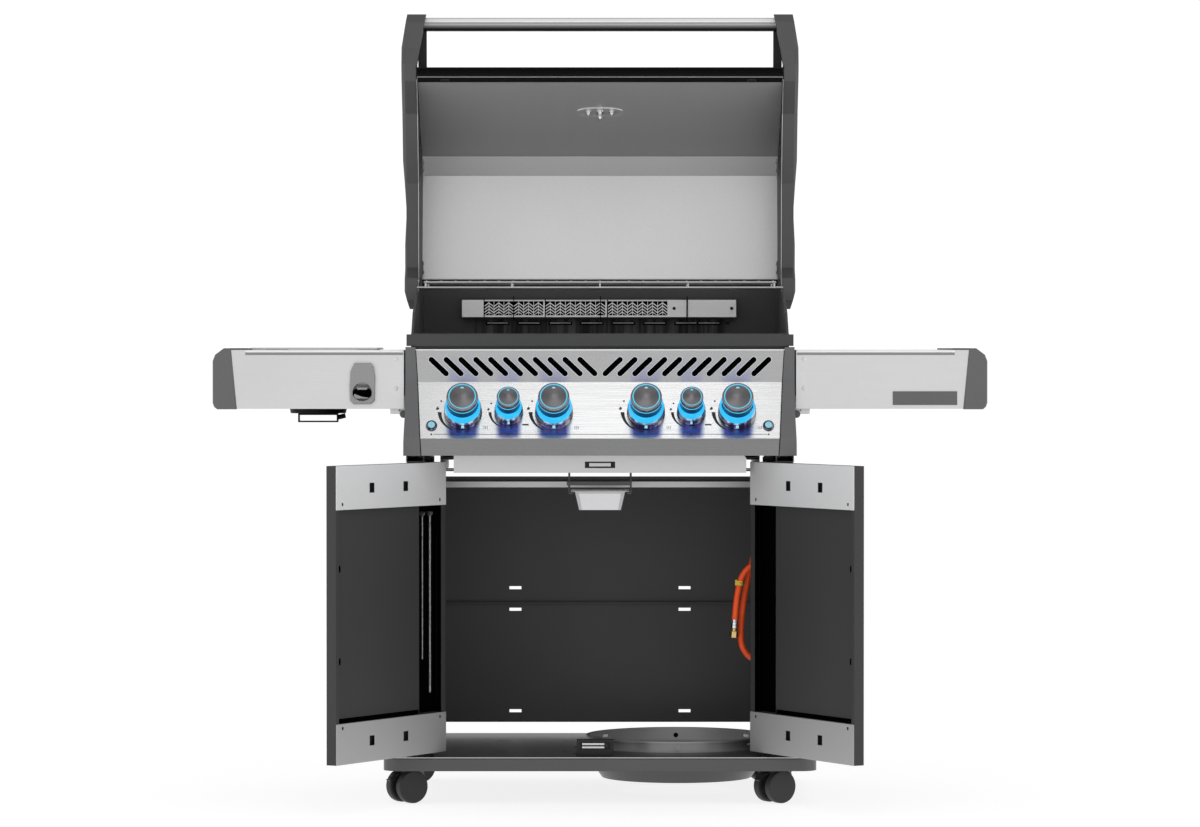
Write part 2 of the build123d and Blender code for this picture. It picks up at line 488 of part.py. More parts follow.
# ---------------------------------------------------------------- side shelves
def shelf(sign, burner_hole):
    s = bx(SHELF_IN, 759, 6, 466, SHELF_TOP - SHEET, SHELF_TOP)
    s += bx(SHELF_IN, 759, 6, 8, SHELF_LOW, SHELF_TOP) + bx(SHELF_IN, 759, 464, 466, SHELF_LOW, SHELF_TOP)
    s += bx(SHELF_IN, 404.5, 6, 466, SHELF_LOW, SHELF_TOP)
    s += bx(SHELF_IN, 759, 6, 14, SHELF_LOW, SHELF_LOW + 1.5) + bx(SHELF_IN, 759, 458, 466, SHELF_LOW, SHELF_LOW + 1.5)
    s -= bx(723.4, 760, 19.4, 452.6, 930, 936)
    s -= bx(400, 414, 20, 75, 780, 840) + bx(400, 414, 392, 447, 780, 840)
    # knuckles round the fold pins
    for y0 in (34.4, 406.4):
        k = rod((FOLD_X, y0, FOLD_Z), (FOLD_X, y0 + 31, FOLD_Z), 8) + bx(FOLD_X, 432, y0, y0 + 31, FOLD_Z, FOLD_Z + 6) + bx(414, 432, y0, y0 + 31, FOLD_Z, 842)
        k += bx(404, 432, y0, y0 + 31, 840, 842)
        k -= rod((FOLD_X, y0 - 5, FOLD_Z), (FOLD_X, y0 + 40, FOLD_Z), 4.06)
        s += k
    if burner_hole:
        s -= Pos(592, 236, 930) * Cylinder(86, 30)
        for x in (690, 494):
            s -= bx(x - 25, x + 25, 388.5, 401, 930, 936)
    return s if sign > 0 else mirror_x(s)


def shelf_cap(sign):
    c = prism_y([(745.5, 813), (786, 813), (792, 818), (795, 826), (795, 912), (790, 925), (772, 938.5), (757.5, 938.5)], 2, 470)
    c = chamfer(c.faces().sort_by(Axis.Y)[0].outer_wire().edges(), 2.5)
    c -= bx(748, 789, 8, 464, 819, 930)
    c -= bx(735, 761.5, 8.2, 463.8, 812, 960)
    c -= bx(735, 759.3, 5.8, 466.2, 812, 960)
    c += bx(724, 772, 20, 452, 935.1, 938.5)
    return c if sign > 0 else mirror_x(c)


put("left_shelf_panel", shelf(-1, True))
put("left_shelf_cap", shelf_cap(-1))
put("right_shelf_panel", shelf(1, False))
badge = bx(601, 733, 3, 5.9, 822, 850)
put("right_shelf_cap", shelf_cap(1), badge)

op = prism_y([(-513, 831), (-506, 823.5), (-470, 823.5), (-462, 831), (-461, 881), (-464, 901), (-470, 908), (-504, 908), (-512, 891), (-514, 861)], -8, 5.9)
op = fillet(op.faces().sort_by(Axis.Y)[0].outer_wire().edges(), 3)
op -= Pos(-487.5, -2, 849) * Rot(90, 0, 0) * Cylinder(19, 14.2)
op += bx(-498, -477, -4, 1, 864, 869)
put("bottle_opener", op)

sb = Pos(-592, 236, 931.9) * Cylinder(96, 2) - Pos(-592, 236, 931.9) * Cylinder(80, 4)
bowl = loft([Pos(-592, 236, 802) * Circle(58), Pos(-592, 236, 932.9) * Circle(84)]) - loft([Pos(-592, 236, 804) * Circle(56), Pos(-592, 236, 933.1) * Circle(82)])
sb = (sb - Pos(-592, 236, 870) * Cylinder(83.6, 200)) + bowl
sb += Pos(-592, 236, 870) * Cylinder(26, 14) + rod((-592, 236, 800), (-592, 236, 866), 9) + Pos(-592, 236, 882) * Cylinder(30, 6)
for a in range(0, 180, 45):
    sb += Pos(-592, 236, 928) * Rot(0, 0, a) * Box(164, 5, 6)
sb -= Pos(-592, 236, 928) * Cylinder(14, 20)
stand = bx(-634, -550, 226, 246, 783, 786) + bx(-634, -631, 226, 246, 783, 800) + bx(-553, -550, 226, 246, 783, 800) + bx(-634, -550, 226, 246, 798, 802.2)
sb += stand + rod((-551, 236, 793), (-535, 236, 797), 5)
put("side_burner", sb)

cov = bx(-722, -462, 96, 386, 935.6, 939.6) - bx(-720, -464, 98, 384, 935, 938)
for x in (-690, -494):
    cov += rod((x - 14, 394, 936), (x + 14, 394, 936), 2.8) + bx(x - 14, x + 14, 384, 394, 936.6, 938.6)
    cov -= rod((x - 20, 394, 936), (x + 20, 394, 936), 1.56)
put("burner_cover", cov)
for x in (-690, -494):
    k = bx(x - 24, x + 24, 389, 400.5, 930.9, 932.9) + bx(x - 24, x - 15, 389.5, 400, 932, 938.6) + bx(x + 15, x + 24, 389.5, 400, 932, 938.6)
    put("side_burner", k + rod((x - 24, 394, 936), (x + 24, 394, 936), 1.5))


# ---------------------------------------------------------------- doors (drawn closed, then opened about their pins)
def door(sign):
    p = bx(2, 398, 0, 1.5, DOOR_Z0, DOOR_Z1)
    for a, b in ((2, 3.5), (396.5, 398)):
        p += bx(a, b, 0, 23, DOOR_Z0, DOOR_Z1)
    p += bx(2, 398, 0, 23, DOOR_Z0, DOOR_Z0 + 1.5) + bx(2, 398, 0, 23, DOOR_Z1 - 1.5, DOOR_Z1)
    p += bx(383, 398, 21.5, 23, DOOR_Z0, DOOR_Z1)               # lip at the hinge edge
    p += bx(2, 314, 12, 13.5, DOOR_Z0, DOOR_Z1) + bx(312.5, 314, 0, 13.5, DOOR_Z0, DOOR_Z1)   # inner skin and the channel wall
    p += bx(2, 12, 21.5, 23, DOOR_Z0, DOOR_Z1)
    px = PIN_XS[sign]
    p -= Pos(px, PIN_Y, 400) * Cylinder(4.06, 700)
    for z in (DOOR_Z0 + 9, DOOR_Z1 - 10.5):
        p += Pos(px, PIN_Y, z) * (Cylinder(7, 15 if z < 400 else 18) - Cylinder(4.06, 40))
    q = bx(2, 398, 23.05, 24.2, DOOR_Z1 - 88, DOOR_Z1) , bx(2, 398, 23.05, 24.2, DOOR_Z0, DOOR_Z0 + 82)
    plates = []
    for pl, zc in zip(q, (DOOR_Z1 - 46, DOOR_Z0 + 42)):
        for x in (128, 250):
            pl -= bx(x - 9, x + 9, 20, 30, zc - 10, zc + 10)
        for x in (24, 376):
            pl -= bx(x - 3, x + 3, 20, 30, (zc - 34 if zc > 400 else zc + 28), (zc - 28 if zc > 400 else zc + 34))
        plates.append(pl)
    if sign < 0:
        p, plates = mirror_x(p), [mirror_x(pl) for pl in plates]
    return p, plates


for sign, name, ang in ((-1, "left", -LEFT_OPEN), (1, "right", RIGHT_OPEN)):
    p, plates = door(sign)
    o = (sign * PIN_XS[sign], PIN_Y, 0)
    put(f"{name}_door_pan", turned(p, o, (0, 0, 1), ang))
    put(f"{name}_door_plates", *[turned(pl, o, (0, 0, 1), ang) for pl in plates])

# lighting rod on a bead chain, hanging in the left door's channel (drawn in the closed door, then turned with it)
rx = -362.0
lr = rod((rx, 8, 596), (rx, 8, 230), 2.6) + rod((rx, 1.6, 600), (rx, 14, 600), 3) + bx(rx - 4, rx + 4, 5, 11, 594, 603)
rx2 = -334.0
lr2 = rod((rx2, 8, 596), (rx2, 8, 300), 1.8) + rod((rx2, 1.6, 600), (rx2, 14, 600), 3) + bx(rx2 - 3, rx2 + 3, 5, 11, 594, 603)
put("lighting_rod", *[turned(q, (-PIN_XS[-1], PIN_Y, 0), (0, 0, 1), -LEFT_OPEN) for q in (lr, lr2)])

# ---------------------------------------------------------------- gas hose
ROUTE = [(345, 112, 700), (345, 112, 652), (342, 124, 602), (333, 142, 553), (320, 152, 505), (308, 154, 455), (298, 152, 405), (293.5, 150, 356),
         (294, 149, 314), (319, 147, 287), (355, 144, 286), (381, 141, 311), (384, 138, 350), (384.5, 135, 392), (382.5, 132, 432), (380.5, 130.5, 467), (355, 129, 492),
         (319, 128, 492), (293.5, 128, 466), (286, 128.5, 429), (282, 129, 399), (280.4, 129.5, 373.6)]


def tube(points, d):
    v = [Vector(*p) for p in points]
    radii = []
    for a, b, c in zip(v, v[1:], v[2:]):
        turn = math.radians((b - a).get_angle(c - b))
        radii.append(0.45 * min((b - a).length, (c - b).length) / math.tan(turn / 2))
    line = FilletPolyline(*v, radius=radii)
    s = sweep(Plane(origin=v[0], z_dir=v[1] - v[0]) * Circle(d / 2), path=line)
    print("hose length", round(line.length, 1), "volume/section*length", round(s.volume / (math.pi * d * d / 4 * line.length), 4))
    print("radii", [round(r, 1) for r in radii])
    return s


put("gas_hose", tube(ROUTE, HOSE_D))
e = Vector(*ROUTE[-1])
d = (Vector(*ROUTE[-1]) - Vector(*ROUTE[-2])).normalized()
end = rod(e, e + d * 17, 6.9) + rod(e + d * 17, e + d * 24, 5) + Plane(origin=e + d * 24, z_dir=d) * extrude(RegularPolygon(8.2, 6), amount=14)
put("hose_end", end)

# ---------------------------------------------------------------- output
os.makedirs("parts", exist_ok=True)
low, high = [1e9] * 3, [-1e9] * 3
for name, solids in NODES.items():
    shape = Compound(children=[Pos(0, SHIFT_Y, 0) * s for s in solids])
    if name not in ("gas_hose", "hose_end"):
        b = shape.bounding_box()
        low = [min(a, c) for a, c in zip(low, tuple(b.min))]
        high = [max(a, c) for a, c in zip(high, tuple(b.max))]
    export_step(shape, f"parts/{name}.step")
print("nodes", len(NODES), "low", [round(v, 3) for v in low], "high", [round(v, 3) for v in high], "middle", [round((a + b) / 2, 3) for a, b in zip(low, high)])
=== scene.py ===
import json
import math
import random
import bpy
import bmesh
from mathutils import Vector, Matrix, Quaternion


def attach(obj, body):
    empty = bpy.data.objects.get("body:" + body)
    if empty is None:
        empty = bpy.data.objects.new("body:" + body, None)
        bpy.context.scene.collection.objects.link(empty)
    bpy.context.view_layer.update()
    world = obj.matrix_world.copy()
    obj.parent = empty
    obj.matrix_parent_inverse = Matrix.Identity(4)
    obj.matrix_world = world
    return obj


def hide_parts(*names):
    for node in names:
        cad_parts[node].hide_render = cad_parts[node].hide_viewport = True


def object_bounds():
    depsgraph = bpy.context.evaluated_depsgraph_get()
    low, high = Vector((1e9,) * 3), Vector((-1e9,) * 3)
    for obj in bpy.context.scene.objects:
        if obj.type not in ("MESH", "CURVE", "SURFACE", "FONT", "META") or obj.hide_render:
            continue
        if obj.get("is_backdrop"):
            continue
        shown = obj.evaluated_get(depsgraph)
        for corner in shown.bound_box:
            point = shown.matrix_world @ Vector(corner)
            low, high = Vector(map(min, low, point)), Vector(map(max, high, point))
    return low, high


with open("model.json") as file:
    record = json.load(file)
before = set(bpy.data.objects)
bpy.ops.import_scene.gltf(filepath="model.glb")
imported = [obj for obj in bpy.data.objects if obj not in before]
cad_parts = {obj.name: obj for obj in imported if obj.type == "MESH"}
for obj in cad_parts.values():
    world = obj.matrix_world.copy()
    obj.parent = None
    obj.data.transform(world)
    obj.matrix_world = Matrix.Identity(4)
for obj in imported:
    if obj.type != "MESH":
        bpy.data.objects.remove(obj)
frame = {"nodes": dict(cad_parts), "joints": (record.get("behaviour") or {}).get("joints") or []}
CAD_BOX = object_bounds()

scene = bpy.context.scene
nodes = frame["nodes"]
joints = {j["name"]: j for j in frame["joints"]}
SH = -207.112            # the model's middle, in the drawing's millimetres


def P(x, y, z):
    return Vector((x / 1000.0, (y + SH) / 1000.0, z / 1000.0))


# ------------------------------------------------------------------ camera
cam = bpy.data.cameras.new("camera")
cam.sensor_width = 36.0
cam.lens = 36.0 * 4680.0 / 1200.0
cam.clip_end = 60.0
co = bpy.data.objects.new("camera", cam)
scene.collection.objects.link(co)
co.location = P(0, -9600, 945)
co.rotation_euler = (math.radians(90.0 - 0.838), 0, 0)
scene.camera = co

# ------------------------------------------------------------------ node helpers


class Mat:
    """A small wrapper that builds a node material."""

    def __init__(self, name):
        self.m = bpy.data.materials.new(name)
        self.m.use_nodes = True
        self.t = self.m.node_tree
        self.b = self.t.nodes["Principled BSDF"]
        self.geo = None

    def new(self, kind, **kw):
        n = self.t.nodes.new(kind)
        for k, v in kw.items():
            setattr(n, k, v)
        return n

    def link(self, a, b):
        self.t.links.new(a, b)

    def coords(self, sx=1.0, sy=1.0, sz=1.0):
        tc = self.new("ShaderNodeTexCoord")
        mp = self.new("ShaderNodeMapping")
        mp.inputs["Scale"].default_value = (sx, sy, sz)
        self.link(tc.outputs["Object"], mp.inputs["Vector"])
        return mp.outputs["Vector"]

    def noise(self, vec, scale, detail=3.0, rough=0.55):
        n = self.new("ShaderNodeTexNoise")
        n.inputs["Scale"].default_value = scale
        n.inputs["Detail"].default_value = detail
        n.inputs["Roughness"].default_value = rough
        self.link(vec, n.inputs["Vector"])
        return n.outputs["Fac"]

    def ramp(self, fac, stops, constant=False):
        r = self.new("ShaderNodeValToRGB")
        if constant:
            r.color_ramp.interpolation = "CONSTANT"
        e = r.color_ramp.elements
        e[0].position, e[0].color = stops[0][0], (*stops[0][1], 1)
        e[1].position, e[1].color = stops[1][0], (*stops[1][1], 1)
        for p, c in stops[2:]:
            x = e.new(p)
            x.color = (*c, 1)
        self.link(fac, r.inputs["Fac"])
        return r.outputs["Color"]

    def maprange(self, fac, a, b, c, d):
        n = self.new("ShaderNodeMapRange")
        for i, v in enumerate((a, b, c, d)):
            n.inputs[i + 1].default_value = v
        self.link(fac, n.inputs[0])
        return n.outputs[0]

    def mixcol(self, a, b, fac, mode="MIX"):
        n = self.new("ShaderNodeMix", data_type="RGBA", blend_type=mode)
        for sock, v in ((n.inputs[6], a), (n.inputs[7], b)):
            if isinstance(v, tuple):
                sock.default_value = (*v, 1)
            else:
                self.link(v, sock)
        if isinstance(fac, float):
            n.inputs[0].default_value = fac
        else:
            self.link(fac, n.inputs[0])
        return n.outputs[2]

    def bump(self, fac, strength, distance=0.001, bevel=0.0):
        n = self.new("ShaderNodeBump")
        n.inputs["Strength"].default_value = strength
        n.inputs["Distance"].default_value = distance
        self.link(fac, n.inputs["Height"])
        if bevel:
            bv = self.new("ShaderNodeBevel", samples=4)
            bv.inputs["Radius"].default_value = bevel
            self.link(bv.outputs[0], n.inputs["Normal"])
        self.link(n.outputs[0], self.b.inputs["Normal"])

    def set(self, **kw):
        for k, v in kw.items():
            s = self.b.inputs[k.replace("_", " ")]
            s.default_value = (*v, 1) if isinstance(v, tuple) else v
        return self

    def math(self, op, a, b=None):
        n = self.new("ShaderNodeMath", operation=op)
        for i, v in enumerate((a, b)):
            if v is None:
                continue
            if isinstance(v, (int, float)):
                n.inputs[i].default_value = v
            else:
                self.link(v, n.inputs[i])
        return n.outputs[0]

    def pos_axis(self, axis):
        g = self.new("ShaderNodeTexCoord")
        s = self.new("ShaderNodeSeparateXYZ")
        self.link(g.outputs["Object"], s.inputs[0])
        return s.outputs["XYZ".index(axis)]


def scaled(c, k):
    return tuple(min(1.0, x * k) for x in c)


def painted(name, base, rough=0.5, grain=900.0, bump=0.25, vary=0.12, metallic=0.0, bevel=0.0008, spec=0.5):
    m = Mat(name)
    v = m.coords()
    big = m.noise(v, 3.0, 2.0)
    fine = m.noise(v, grain, 2.0, 0.6)
    c1 = m.ramp(big, [(0.3, scaled(base, 1 - vary)), (0.7, scaled(base, 1 + vary))])
    c2 = m.ramp(fine, [(0.35, scaled(base, 0.86)), (0.65, scaled(base, 1.16))])
    m.link(m.mixcol(c1, c2, 0.4), m.b.inputs["Base Color"])
    m.link(m.maprange(fine, 0.3, 0.7, rough - 0.06, rough + 0.08), m.b.inputs["Roughness"])
    m.bump(fine, bump, 0.0004, bevel)
    m.set(Metallic=metallic, Specular_IOR_Level=spec)
    return m


def brushed(name, base=(0.62, 0.62, 0.63), rough=0.30, along="X", bump=0.08, vary=0.08, bevel=0.0008, metallic=1.0, shade_bands=None, blue=False):
    """Stainless sheet with fine lines along one axis and a slow, cloudy change in brightness; shade_bands multiplies in
    painted shade by height, and the blue option paints in the cast light of the lit knobs.
    """
    m = Mat(name)
    s = {"X": (6, 900, 900), "Y": (900, 6, 900), "Z": (900, 900, 6)}[along]
    lines = m.noise(m.coords(*s), 1.0, 4.0, 0.7)
    cloud = m.noise(m.coords(2.0, 2.0, 3.0), 1.6, 3.0)
    grain = m.noise(m.coords(), 260.0, 3.0, 0.7)
    c = m.ramp(lines, [(0.25, scaled(base, 1 - vary)), (0.75, scaled(base, 1 + vary))])
    c = m.mixcol(c, m.ramp(cloud, [(0.3, scaled(base, 0.92)), (0.7, scaled(base, 1.07))]), 0.45)
    c = m.mixcol(c, m.ramp(grain, [(0.3, scaled(base, 0.95)), (0.7, scaled(base, 1.05))]), 0.3)
    # painted shade: the colour is multiplied by height in steps, standing in for light and shade on differently facing
    # parts of one sheet
    if shade_bands:
        axis, stops = shade_bands
        lo, hi = stops[0][0], stops[-1][0]
        f = m.maprange(m.pos_axis(axis), lo, hi, 0.0, 1.0)
        k = m.ramp(f, [((p - lo) / (hi - lo), (v, v, v)) for p, v in stops], constant=True)
        c = m.mixcol(c, k, 1.0, "MULTIPLY")
    if blue:
        # painted light: the cast light of the lit knobs painted into the colour: deep blue under each foot, faint on
        # the slotted band above
        ax = m.math("ABSOLUTE", m.pos_axis("X"))
        near = None
        for xk, w in ((0.094, 0.030), (0.1865, 0.023), (0.280, 0.030)):
            d = m.math("ABSOLUTE", m.math("SUBTRACT", ax, xk))
            f = m.maprange(d, w - 0.006, w + 0.005, 1.0, 0.0)
            near = f if near is None else m.math("MAXIMUM", near, f)
        zp = m.pos_axis("Z")
        under = m.math("MULTIPLY", m.maprange(zp, 0.7545, 0.764, 0.5, 1.0), m.maprange(zp, 0.79, 0.80, 1.0, 0.0))
        above = m.math("MULTIPLY", m.maprange(zp, 0.868, 0.872, 0.0, 0.30), m.maprange(zp, 0.885, 0.925, 1.0, 0.0))
        low = m.math("MULTIPLY", near, m.math("MULTIPLY", under, m.maprange(zp, 0.7545, 0.7555, 0.0, 0.88)))
        hi = m.math("MULTIPLY", near, above)
        c = m.mixcol(c, (0.045, 0.045, 0.30), low)
        c = m.mixcol(c, (0.22, 0.22, 0.62), hi)
    m.link(c, m.b.inputs["Base Color"])
    m.link(m.maprange(lines, 0.2, 0.8, rough - 0.06, rough + 0.09), m.b.inputs["Roughness"])
    m.bump(lines, bump, 0.0003, bevel)
    m.set(Metallic=metallic)
    return m


def chrome(name, base=(0.82, 0.83, 0.86), rough=0.07, painted_reflections=False):
    m = Mat(name)
    n = m.noise(m.coords(), 40.0, 3.0)
    c = m.ramp(n, [(0.3, scaled(base, 0.95)), (0.7, scaled(base, 1.03))])
    if painted_reflections:
        # painted reflections: dark navy and white streaks multiplied into the chrome's colour, standing in for what the
        # chrome reflects
        w = m.noise(m.coords(1.0, 0.15, 0.15), 95.0, 1.0)
        c = m.mixcol(c, m.ramp(w, [(0.40, (0.03, 0.03, 0.07)), (0.50, (0.30, 0.30, 0.38)), (0.60, (1.0, 1.0, 1.0))]), 0.9, "MULTIPLY")
    m.link(c, m.b.inputs["Base Color"])
    m.link(m.maprange(n, 0.3, 0.7, rough * 0.7, rough * 1.6), m.b.inputs["Roughness"])
    m.set(Metallic=1.0)
    return m


def glow(name, color, strength, base=(0.1, 0.5, 0.7)):
    m = Mat(name)
    n = m.noise(m.coords(), 120.0, 2.0)
    m.link(m.ramp(n, [(0.3, scaled(color, 0.9)), (0.7, color)]), m.b.inputs["Emission Color"])
    m.link(m.ramp(n, [(0.3, scaled(base, 0.9)), (0.7, base)]), m.b.inputs["Base Color"])
    m.set(Emission_Strength=strength, Roughness=0.3)
    return m


M = {}
M["dark_paint"] = painted("dark_paint", (0.052, 0.052, 0.053), 0.55, 1100, 0.35, 0.08, spec=0.22)
M["door_paint"] = painted("door_paint", (0.048, 0.048, 0.048), 0.5, 1100, 0.35, 0.08, spec=0.22)
M["liner_painted_light"] = painted("liner_painted_light", (0.78, 0.78, 0.78), 0.5, 800, 0.05, 0.02, metallic=0.2)
M["fork_metal"] = painted("fork_metal", (0.10, 0.10, 0.101), 0.22, 700, 0.05, 0.1, metallic=0.7)
M["back_paint"] = painted("back_paint", (0.088, 0.088, 0.089), 0.5, 1100, 0.2, 0.08, spec=0.3)
M["base_paint"] = painted("base_paint", (0.088, 0.088, 0.089), 0.36, 1100, 0.2, 0.12, metallic=0.3, spec=0.5)
M["ring_paint"] = painted("ring_paint", (0.19, 0.19, 0.191), 0.34, 1100, 0.15, 0.1, metallic=0.5)
# painted light and shade: the ring's colour is multiplied up towards the top (2.1x) and down towards the bottom (0.45x)
rp = M["ring_paint"]
rp_src = rp.b.inputs["Base Color"].links[0].from_socket
rp_painted_shade = rp.ramp(rp.maprange(rp.pos_axis("Z"), 0.078, 0.104, 0.0, 1.0), [(0.3, (0.45, 0.45, 0.45)), (0.7, (2.1, 2.1, 2.1))])
rp.link(rp.mixcol(rp_src, rp_painted_shade, 1.0, "MULTIPLY"), rp.b.inputs["Base Color"])
M["black_paint"] = painted("black_paint", (0.004, 0.004, 0.004), 0.45, 900, 0.1, 0.2, spec=0.12)
M["grey_paint"] = painted("grey_paint", (0.12, 0.12, 0.125), 0.4, 900, 0.2, 0.1)
M["cast_paint"] = painted("cast_paint", (0.058, 0.058, 0.058), 0.42, 600, 0.35, 0.12, spec=0.25)
M["cap_paint"] = painted("cap_paint", (0.082, 0.082, 0.083), 0.36, 700, 0.2, 0.08, metallic=0.4, bevel=0.003)
M["lid_paint"] = painted("lid_paint", (0.006, 0.006, 0.006), 0.3, 900, 0.08, 0.1, spec=0.25)
M["liner_grey"] = painted("liner_grey", (0.62, 0.62, 0.62), 0.34, 800, 0.08, 0.03, metallic=0.8)
M["grey_plastic"] = painted("grey_plastic", (0.125, 0.125, 0.127), 0.42, 700, 0.4, 0.05, bevel=0.0015)
M["black_plastic"] = painted("black_plastic", (0.010, 0.010, 0.010), 0.38, 700, 0.2, 0.1, spec=0.35)
M["wheel_grey"] = painted("wheel_grey", (0.030, 0.030, 0.031), 0.5, 800, 0.2, 0.08, bevel=0.0015, spec=0.3)
M["black_enamel"] = painted("black_enamel", (0.012, 0.012, 0.012), 0.2, 500, 0.06, 0.1)
M["cast_grey"] = painted("cast_grey", (0.30, 0.30, 0.302), 0.36, 500, 0.3, 0.08, metallic=0.3, bevel=0.0015)
M["stainless"] = brushed("stainless", (0.62, 0.62, 0.622), 0.32)
# painted highlight: a brighter, less metallic copy of stainless, standing in for the light that polished steel catches
M["stainless_painted_highlight"] = brushed("stainless_painted_highlight", (0.92, 0.92, 0.92), 0.40, metallic=0.25)
# painted shade: a darker copy of stainless for the shaded side of the shelves' folded edge
M["shelf_fold_painted_shade"] = brushed("shelf_fold_painted_shade", (0.30, 0.30, 0.30), 0.4)
M["black_void"] = painted("black_void", (0.0012, 0.0012, 0.0012), 0.8, 500, 0.02, 0.1, spec=0.0)
M["rack_wire"] = brushed("rack_wire", (0.48, 0.48, 0.48), 0.30, bump=0.0)
M["stainless_shelf"] = brushed("stainless_shelf", (0.74, 0.74, 0.743), 0.34)
# painted shade: the lower door plates (below z 0.35) are darkened to 0.52 of the colour
M["stainless_door"] = brushed("stainless_door", (0.84, 0.84, 0.84), 0.46, along="X", metallic=0.35, shade_bands=("Z", [(0.0, 0.52), (0.35, 1.0), (0.9, 1.0)]))
M["stainless_rod"] = brushed("stainless_rod", (0.42, 0.42, 0.42), 0.35, along="Y")
# painted shade: the panel's lower band (0.42) and slotted upper band (0.80) are darkened against the bright sloping
# band, so shading by orientation is painted into the colour
M["stainless_panel"] = brushed("stainless_panel", (0.62, 0.62, 0.623), 0.26, shade_bands=("Z", [(0.70, 0.42), (0.7545, 1.0), (0.8688, 0.80), (0.9325, 1.0), (0.95, 1.0)]), blue=True)
# painted reflection: the handle's colour is ramped by which way the surface faces (normal Z): dark underside, a dark
# line and bright highlight bands on top
_m = Mat("handle_painted_reflection")
_g = _m.new("ShaderNodeNewGeometry")
_sp = _m.new("ShaderNodeSeparateXYZ")
_m.link(_m.new("ShaderNodeTexCoord").outputs["Normal"], _sp.inputs[0])
_nz = _m.maprange(_sp.outputs[2], -1.0, 1.0, 0.0, 1.0)
_c = _m.ramp(_nz, [(0.0, (0.012, 0.012, 0.012)), (0.16, (0.03, 0.03, 0.03)), (0.34, (0.16, 0.16, 0.16)), (0.47, (0.42, 0.42, 0.42)), (0.55, (0.62, 0.62, 0.62)), (0.575, (0.02, 0.02, 0.02)), (0.61, (0.02, 0.02, 0.02)), (0.64, (0.95, 0.95, 0.95)), (0.93, (0.98, 0.98, 0.98)), (0.97, (0.25, 0.25, 0.25)), (1.0, (0.2, 0.2, 0.2))])
_f = _m.noise(_m.coords(4, 900, 900), 1.0, 3.0)
_m.link(_m.mixcol(_c, _m.ramp(_f, [(0.3, (0.9, 0.9, 0.9)), (0.7, (1.0, 1.0, 1.0))]), 1.0, "MULTIPLY"), _m.b.inputs["Base Color"])
_m.set(Metallic=0.55, Roughness=0.42)
M["handle_painted_reflection"] = _m
M["tamer_steel"] = brushed("tamer_steel", (0.4, 0.39, 0.38), 0.4, along="Y")
M["aluminium"] = brushed("aluminium", (0.72, 0.72, 0.73), 0.4, vary=0.05)
M["zinc"] = brushed("zinc", (0.5, 0.5, 0.5), 0.4)
M["chrome"] = chrome("chrome")
M["bezel_chrome"] = chrome("bezel_chrome", (0.62, 0.63, 0.68), 0.09, painted_reflections=True)
M["brass"] = chrome("brass", (0.72, 0.52, 0.24), 0.28)
M["cap_silver"] = brushed("cap_silver", (0.24, 0.25, 0.28), 0.24, vary=0.04)
M["cap_dome"] = brushed("cap_dome", (0.185, 0.18, 0.185), 0.32, vary=0.05)
_m = Mat("bead_chain")
_z = _m.noise(_m.coords(30, 30, 1.0), 210.0, 0.0)
_m.link(_m.ramp(_z, [(0.44, (0.015, 0.015, 0.015)), (0.56, (0.55, 0.55, 0.55))]), _m.b.inputs["Base Color"])
_m.link(_m.maprange(_z, 0.4, 0.6, 0.45, 0.25), _m.b.inputs["Roughness"])
_m.set(Metallic=0.8)
M["bead_chain"] = _m
M["streaks"] = painted("streaks", (0.05, 0.05, 0.05), 0.35, 300, 0.02, 0.1)
# painted reflection: upright streaks painted into the colour of the firebox's back wall
_m = Mat("firebox_painted_reflection")
_x = _m.noise(_m.coords(1.0, 0.02, 0.05), 62.0, 2.0, 0.6)
_m.link(_m.ramp(_x, [(0.38, (0.006, 0.006, 0.006)), (0.52, (0.045, 0.045, 0.045)), (0.66, (0.10, 0.10, 0.10))]), _m.b.inputs["Base Color"])
_m.set(Roughness=0.45, Specular_IOR_Level=0.2)
M["firebox_painted_reflection"] = _m
M["navy"] = painted("navy", (0.002, 0.006, 0.055), 0.25, 300, 0.02, 0.1, metallic=0.2)
M["glow_cyan"] = glow("glow_cyan", (0.02, 0.52, 1.0), 1.05, (0.0, 0.05, 0.1))
M["glow_ring"] = glow("glow_ring", (0.10, 0.62, 0.92), 0.9, (0.0, 0.08, 0.12))
M["glow_icon"] = glow("glow_icon", (0.35, 0.80, 0.98), 0.9, (0.05, 0.1, 0.12))
M["glow_button"] = glow("glow_button", (0.20, 0.58, 0.74), 0.7, (0.1, 0.2, 0.24))
M["print_dark"] = painted("print_dark", (0.02, 0.02, 0.022), 0.6, 500, 0.02, 0.1)
M["print_light"] = painted("print_light", (0.75, 0.75, 0.76), 0.5, 500, 0.02, 0.03)
M["yellow_tie"] = painted("yellow_tie", (0.75, 0.55, 0.05), 0.4, 500, 0.1, 0.1)
M["white_dial"] = painted("white_dial", (0.8, 0.8, 0.78), 0.5, 500, 0.02, 0.02)
r = Mat("orange_rubber")
rn = r.noise(r.coords(), 350.0, 3.0)
rb = r.noise(r.coords(), 9.0, 2.0)
r.link(r.mixcol(r.ramp(rb, [(0.3, (0.86, 0.062, 0.002)), (0.7, (1.0, 0.105, 0.006))]), r.ramp(rn, [(0.3, (0.86, 0.07, 0.003)), (0.7, (1.0, 0.12, 0.01))]), 0.3), r.b.inputs["Base Color"])
r.link(r.maprange(rn, 0.3, 0.7, 0.32, 0.46), r.b.inputs["Roughness"])
r.bump(rn, 0.12, 0.0003)
M["orange_rubber"] = r

